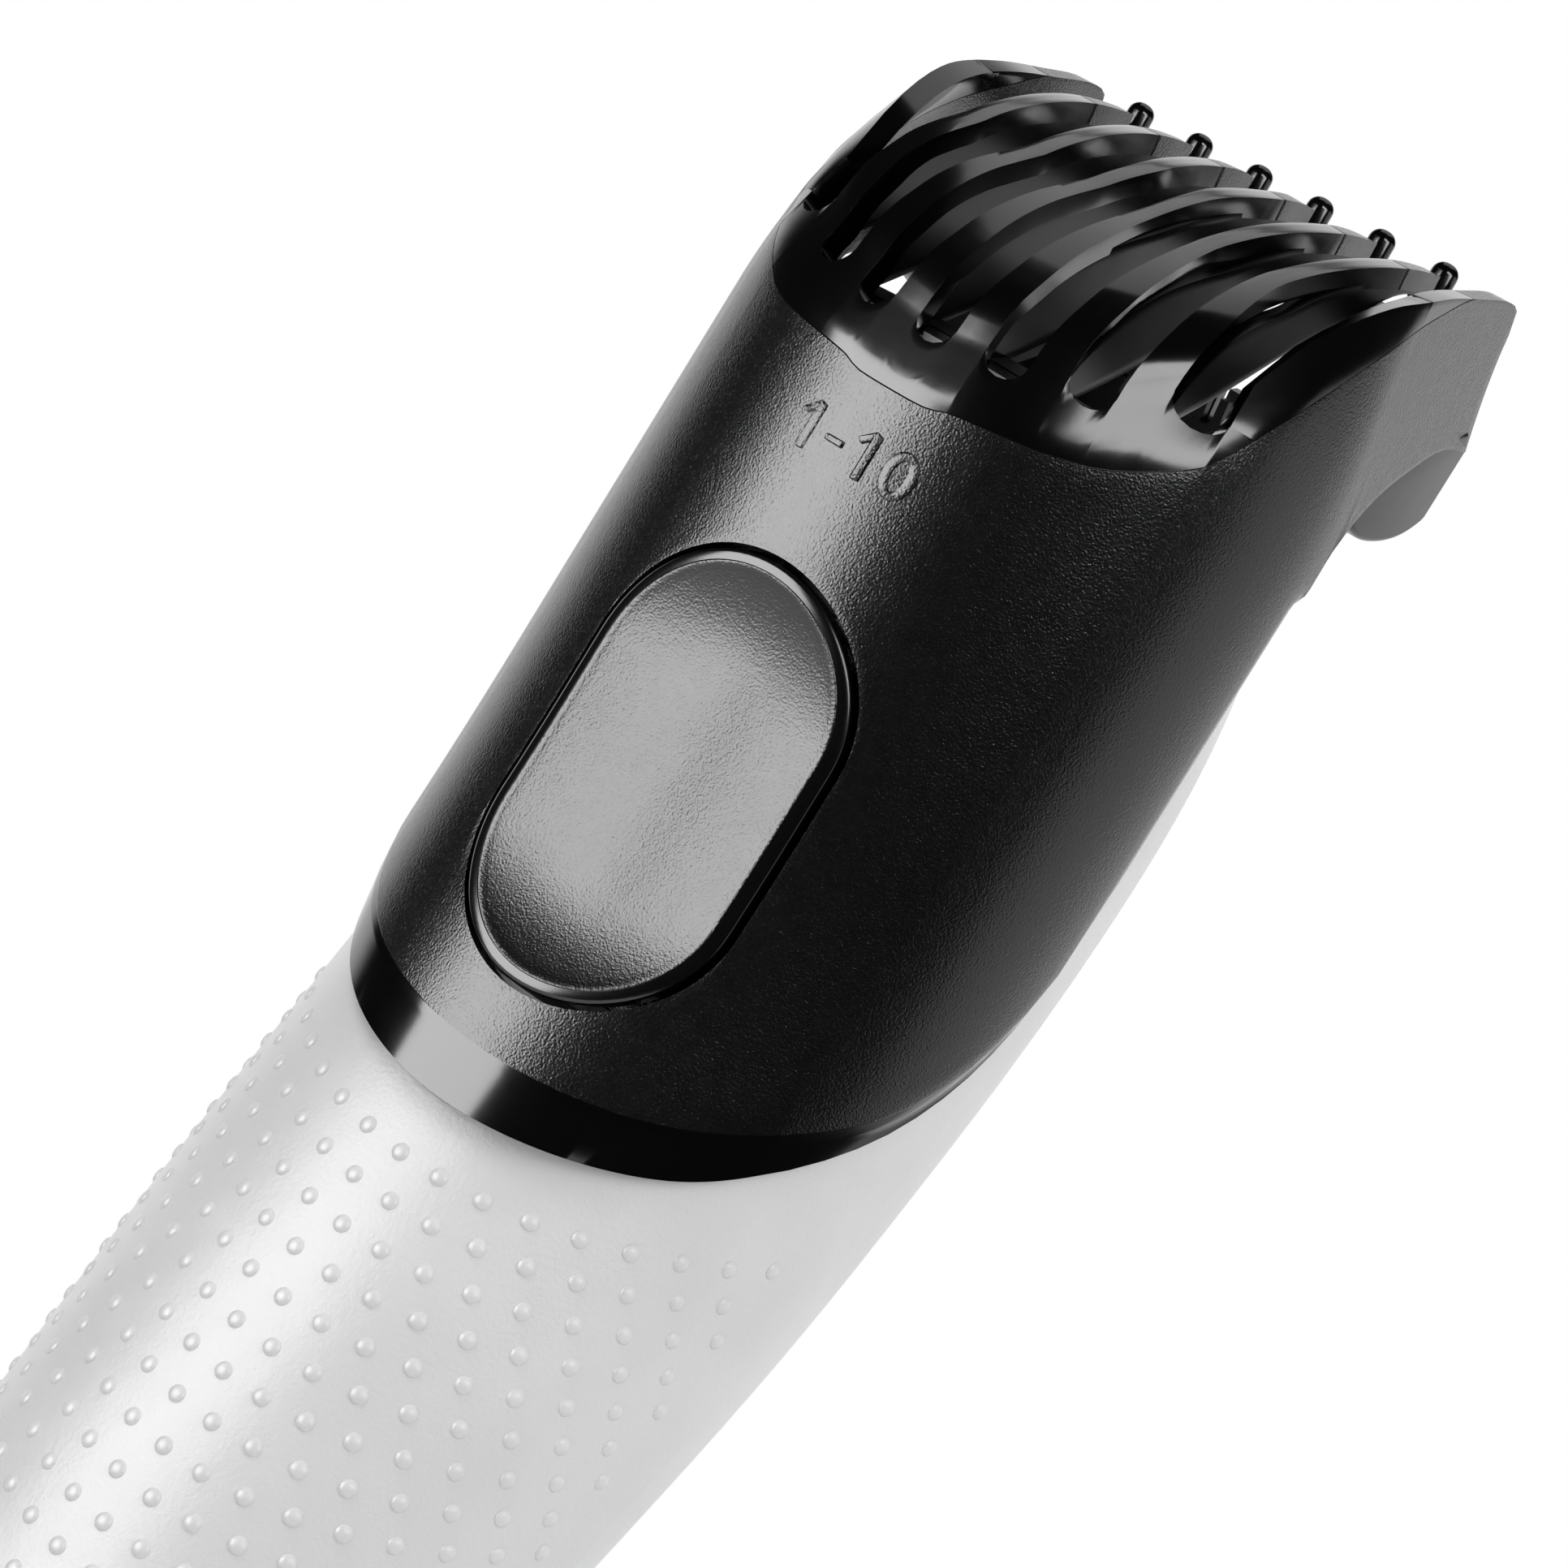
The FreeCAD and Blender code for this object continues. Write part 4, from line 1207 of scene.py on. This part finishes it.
@dataclass
class LatchButton:
    """Comb latch button: a stadium cap with a deep dish, and the stem behind it."""

    form: CombForm
    proud: float = 0.32
    lip: float = 0.75
    dish: float = 1.64
    slope: float = 6.2
    skirt: float = 1.5
    cap_wall: float = 0.6
    around: int = 112
    insets: tuple[float, ...] = (0.0, 0.0, 0.08, 0.25, 0.5, 0.62, 0.74, 0.9, 1.1, 1.35, 1.7, 2.2, 2.8, 3.5, 4.3,
                                 5.2, 6.2, 7.3, 8.5)

    def outline(self, turn: float, inset: float) -> Point:
        """Point of the cap's outline, drawn in by an inset.

        Args:
            turn: share of the way round, from 0 to 1.
            inset: distance inwards from the outline.

        Returns:
            Distance across and height from the button's centre.
        """
        radius, straight = self.form.button_radius - inset, self.form.button_straight
        arc, side = math.pi * self.form.button_radius, 2 * straight
        step = 2 * (arc + side) / self.around
        along = ((turn % 1.0) * self.around * step + arc % step / 2) % (2 * (arc + side))
        flip = 1.0
        if along > arc + side:
            along, flip = along - arc - side, -1.0
        if along <= arc:
            angle = along / self.form.button_radius
            return flip * radius * math.cos(angle), flip * (straight + radius * math.sin(angle))
        return -flip * radius, flip * (straight - (along - arc))

    def depth(self, x: float, dz: float, inset: float) -> float:
        """Depth of the cap's face: a proud lip round a hollow dish.

        Args:
            x: distance across.
            dz: height from the button's centre.
            inset: distance inwards from the outline.

        Returns:
            Depth in millimetres.
        """
        z = self.form.button_z + dz
        lip = self.form.depth(x, z) - self.proud
        share = min(1.0, max(0.0, (inset - self.lip) / self.slope))
        return lip + self.dish * (1 - (1 - share) ** 2) * ease((inset - self.lip + 0.15) / 0.6)

    def build(self) -> None:
        """Makes the cap, the stem and its plate."""
        insets = self.insets
        bm, places = sheet(self.around, len(insets) - 1)
        names = {name: bm.verts.layers.float[name] for name in STORED}
        for vert, (c, r) in places.items():
            inset = insets[r]
            x, dz = self.outline(c / self.around, min(inset, self.form.button_radius - 0.0004))
            y = self.depth(x, dz, inset)
            if r == 0:
                y += self.skirt
            elif inset < 0.25:
                y += 0.16 * (1 - inset / 0.25) ** 2
            vert.co = Vector((x, y, self.form.button_z + dz))
            vert[names["polish"]] = 0.72 - inset if r else 1.0
            vert[names["band"]] = -9.0
            vert[names["parting"]] = 9.0
        Piece("button_cap", bm, HEAD).wall(self.cap_wall).even().dress(
            Finish.BUTTON, "comb_latch", "comb_plastic", "comb_button")
        stem = bmesh.new()
        for half, depth, back in ((Vector((1.8, 0, 5.0)), 4.6, -13.9), (Vector((5.5, 0, 4.6)), 0.5, -18.0)):
            made = bmesh.ops.create_cube(stem, size=1.0)
            place = Matrix.Translation((0, back - depth / 2, self.form.button_z)) @ Matrix.Diagonal(
                (2 * half.x, depth, 2 * half.z, 1.0))
            bmesh.ops.transform(stem, matrix=place, verts=made["verts"])
        piece = Piece("button_stem", GuideComb.stored(stem, -1.0), HEAD).edges(0.3, 3)
        piece.dress(Finish.BUTTON, "comb_latch", "comb_plastic", "comb_button")


# ---- the handle -----------------------------------------------------------------------
@dataclass
class GripDots:
    """Rows of small domes moulded on the thumb side of the handle."""

    first_row: float = 83.9
    row_step: float = 2.56
    dot_step: float = 3.04
    radius: float = 18.5
    rows: int = 26
    rise: float = 0.61
    dome_radius: float = 0.56
    dome_height: float = 0.22
    clear: tuple[tuple[float, float], ...] = ((38.0, 8.0), (25.0, 3.4))

    def spots(self) -> Iterable[tuple[float, float]]:
        """Angle and height of each dot.

        Returns:
            Pairs of an angle round the handle and a height.
        """
        for row in range(self.rows):
            half = 8.0 if row % 2 == 0 else 7.5
            count = int(2 * half) + 1
            for k in range(count):
                angle = (k - half) * self.dot_step / self.radius
                height = self.first_row - row * self.row_step + self.rise * self.radius * (1 - math.cos(angle))
                x = self.radius * math.sin(angle)
                if all(math.hypot(x, height - z) > r for z, r in self.clear):
                    yield angle, height

    def dome(self) -> bpy.types.Mesh:
        """Low dome of a few dozen faces, its foot just below z = 0.

        Returns:
            The dome's mesh, in millimetres.
        """
        bm = bmesh.new()
        shape = Matrix.Diagonal((self.dome_radius, self.dome_radius, self.dome_height + 0.03, 1.0))
        bmesh.ops.create_uvsphere(bm, u_segments=12, v_segments=6, radius=1.0, matrix=shape)
        mesh = bpy.data.meshes.new("dome")
        bm.to_mesh(mesh)
        bm.free()
        return mesh

    def build(self) -> None:
        """Makes every dome on the housing's own surface."""
        shell = frame["nodes"]["front_shell"].data
        corners = [v.co.copy() for v in shell.vertices]
        tree = BVHTree.FromPolygons(corners, [tuple(p.vertices) for p in shell.polygons])
        dome, bm = self.dome(), bmesh.new()
        for angle, height in self.spots():
            out = Vector((math.sin(angle), -math.cos(angle), 0.0))
            hit, normal, _, _ = tree.ray_cast((out * 40.0 + Vector((0, 0, height))) * MM, -out)
            if hit is None:
                continue
            lift = normal if normal.dot(out) > 0 else -normal
            turn = lift.to_track_quat("Z", "Y").to_matrix().to_4x4()
            place = Matrix.Translation(hit / MM - lift * 0.03) @ turn
            dome.transform(place)
            bm.from_mesh(dome)
            dome.transform(place.inverted())
        bpy.data.meshes.remove(dome)
        Piece("grip_dots", bm, BODY).dress(Finish.DOTS, "handle", "housing")


@dataclass
class PackedNodes:
    """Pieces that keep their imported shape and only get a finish."""

    finishes: dict[Finish, tuple[str, ...]]

    def dress(self) -> None:
        """Puts each finish on its nodes."""
        for finish, names in self.finishes.items():
            for name in names:
                slots = frame["nodes"][name].material_slots
                for slot in slots:
                    slot.material = finish.material()
                LOG.info("%s keeps its shape, in %s", name, finish.name)


PACKED = PackedNodes({
    Finish.HOUSING: ("front_shell", "rear_cover"),
    Finish.BASE: ("base_cap", "power_button"),
    Finish.INNER: ("charge_socket", "length_rack", "head_base", "comb_pawl", "board_parts", "motor_end_bell",
                   "tact_switch"),
    Finish.FRAME: ("chassis", "drive_fork", "eccentric_cam"),
    Finish.LENS: ("light_guide", "status_led"),
    Finish.BOARD: ("circuit_board",),
    Finish.CELL: ("battery_cell",),
    Finish.LEAD: ("battery_leads", "socket_leads", "motor_leads"),
    Finish.RUBBER: ("socket_gasket", "head_seal", "switch_pad", "battery_pad"),
    Finish.STEEL: ("case_screws", "board_screws", "motor_case", "motor_bracket", "motor_screws", "rotor_shaft",
                   "rotor_core", "blade_screws", "button_springs"),
    Finish.BLADE: ("fixed_blade", "moving_blade"),
    Finish.CONTACT: ("socket_pin", "battery_tabs", "motor_terminals"),
})


# ---- the studio -----------------------------------------------------------------------
class Reach(Enum):
    """What a light works on: only the gloss, or only the plain shading."""

    GLOSS = "gloss"
    FILL = "fill"


@dataclass(frozen=True)
class SoftBox:
    """One rectangular studio light, aimed at a point; sizes and places in metres."""

    name: str
    place: tuple[float, float, float]
    aim: tuple[float, float, float]
    size: tuple[float, float]
    power: float
    reach: Reach

    def build(self) -> None:
        """Makes the light."""
        data = bpy.data.lights.new(self.name, "AREA")
        data.shape, data.size, data.size_y, data.energy = "RECTANGLE", *self.size, self.power
        item = bpy.data.objects.new(self.name, data)
        item.location = self.place
        item.visible_diffuse, item.visible_glossy = self.reach is Reach.FILL, self.reach is Reach.GLOSS
        towards = Vector(self.aim) - Vector(self.place)
        item.rotation_mode = "QUATERNION"
        item.rotation_quaternion = towards.to_track_quat("-Z", "Y")
        bpy.context.scene.collection.objects.link(item)


@dataclass
class Studio:
    """Camera, pale floor, pale surroundings and soft lights."""

    lens: float = 83.09
    eye: tuple[float, float, float] = (0.08705, -0.20100, 0.06563)
    axes: tuple[tuple[float, float, float], ...] = (
        (0.76860, 0.18613, 0.61204), (-0.49968, -0.42272, 0.75606), (0.39945, -0.88694, -0.23191))
    pale: Colour = (0.90, 0.90, 0.90)
    floor_radius: float = 0.15
    backdrop: tuple[float, float, float] = (-0.34, 0.94, 0.0)
    dusk: tuple[float, float] = (0.50, 0.72)
    dim: float = 0.015
    bright: float = 1.05
    fill: float = 0.52

    def camera(self) -> None:
        """Makes the camera at the object's viewing angle."""
        data = bpy.data.cameras.new("camera")
        data.lens, data.sensor_width, data.clip_start, data.clip_end = self.lens, 36.0, 0.01, 30.0
        item = bpy.data.objects.new("camera", data)
        turn = Matrix(self.axes).transposed().to_4x4()
        item.matrix_world = Matrix.Translation(self.eye) @ turn
        bpy.context.scene.collection.objects.link(item)
        bpy.context.scene.camera = item

    def floor(self) -> None:
        """Makes the plain pale floor."""
        bm = bmesh.new()
        bmesh.ops.create_circle(bm, cap_ends=True, segments=64, radius=self.floor_radius)
        mesh = bpy.data.meshes.new("floor")
        bm.to_mesh(mesh)
        bm.free()
        item = bpy.data.objects.new("floor", mesh)
        mix = Recipe("floor_pale")
        mix.set(Base_Color=self.pale, Roughness=0.75)
        mesh.materials.append(mix.material)
        bpy.context.scene.collection.objects.link(item)

    def surroundings(self) -> None:
        """Plain pale background, darker for what the gloss mirrors from the front."""
        world = bpy.data.worlds.new("studio")
        bpy.context.scene.world = world
        world.use_nodes = True
        tree = world.node_tree
        tree.nodes.clear()
        links, new = tree.links, tree.nodes.new
        path, place, split = new("ShaderNodeLightPath"), new("ShaderNodeTexCoord"), new("ShaderNodeVectorMath")
        split.operation = "DOT_PRODUCT"
        split.inputs[1].default_value = self.backdrop
        links.new(place.outputs["Generated"], split.inputs[0])
        shift = new("ShaderNodeMapRange")
        shift.interpolation_type = "SMOOTHSTEP"
        for name, value in (("From Min", self.dusk[0]), ("From Max", self.dusk[1]),
                            ("To Min", self.dim), ("To Max", self.bright)):
            shift.inputs[name].default_value = value
        links.new(split.outputs["Value"], shift.inputs["Value"])
        shaders = []
        for level in (0.0, self.fill, 1.0):
            shaders.append(new("ShaderNodeBackground"))
            shaders[-1].inputs["Color"].default_value = (1.0, 1.0, 1.0, 1.0)
            shaders[-1].inputs["Strength"].default_value = level
        links.new(shift.outputs[0], shaders[0].inputs["Strength"])
        mixer = shaders[0]
        for name, shader in (("Is Diffuse Ray", shaders[1]), ("Is Camera Ray", shaders[2])):
            joined = new("ShaderNodeMixShader")
            links.new(path.outputs[name], joined.inputs[0])
            links.new(mixer.outputs[0], joined.inputs[1])
            links.new(shader.outputs[0], joined.inputs[2])
            mixer = joined
        out = new("ShaderNodeOutputWorld")
        links.new(mixer.outputs[0], out.inputs[0])
        bpy.context.scene.view_settings.view_transform = "Standard"

    def build(self) -> None:
        """Makes the whole studio."""
        self.camera()
        self.floor()
        self.surroundings()
        for box in (
            SoftBox("strip_box", (-0.165, -0.280, 0.040), (0, -0.02, 0.12), (0.27, 0.27), 1.45, Reach.GLOSS),
            SoftBox("window_box", (0.350, -0.290, 0.280), (0, -0.02, 0.13), (0.40, 0.095), 0.62, Reach.GLOSS),
            SoftBox("panel_box", (0.400, 0.280, 0.250), (0, 0, 0.12), (0.46, 0.40), 0.33, Reach.GLOSS),
            SoftBox("crown_box", (-0.05, 0.0, 0.65), (0, 0, 0.15), (0.45, 0.45), 0.45, Reach.GLOSS),
            SoftBox("left_box", (-0.30, -0.35, 0.45), (0, 0, 0.10), (0.30, 0.30), 1.05, Reach.FILL),
            SoftBox("right_box", (0.42, -0.20, 0.42), (0, 0, 0.10), (0.30, 0.30), 1.05, Reach.FILL),
        ):
            box.build()


def main() -> None:
    """Builds the studio and every piece."""
    logging.basicConfig(level=logging.INFO, format="%(message)s")
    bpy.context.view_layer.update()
    Studio().build()
    form = CombForm()
    GuideComb(form).build()
    LatchButton(form).build()
    GripDots().build()
    PACKED.dress()


if __name__ == "__main__":
    main()
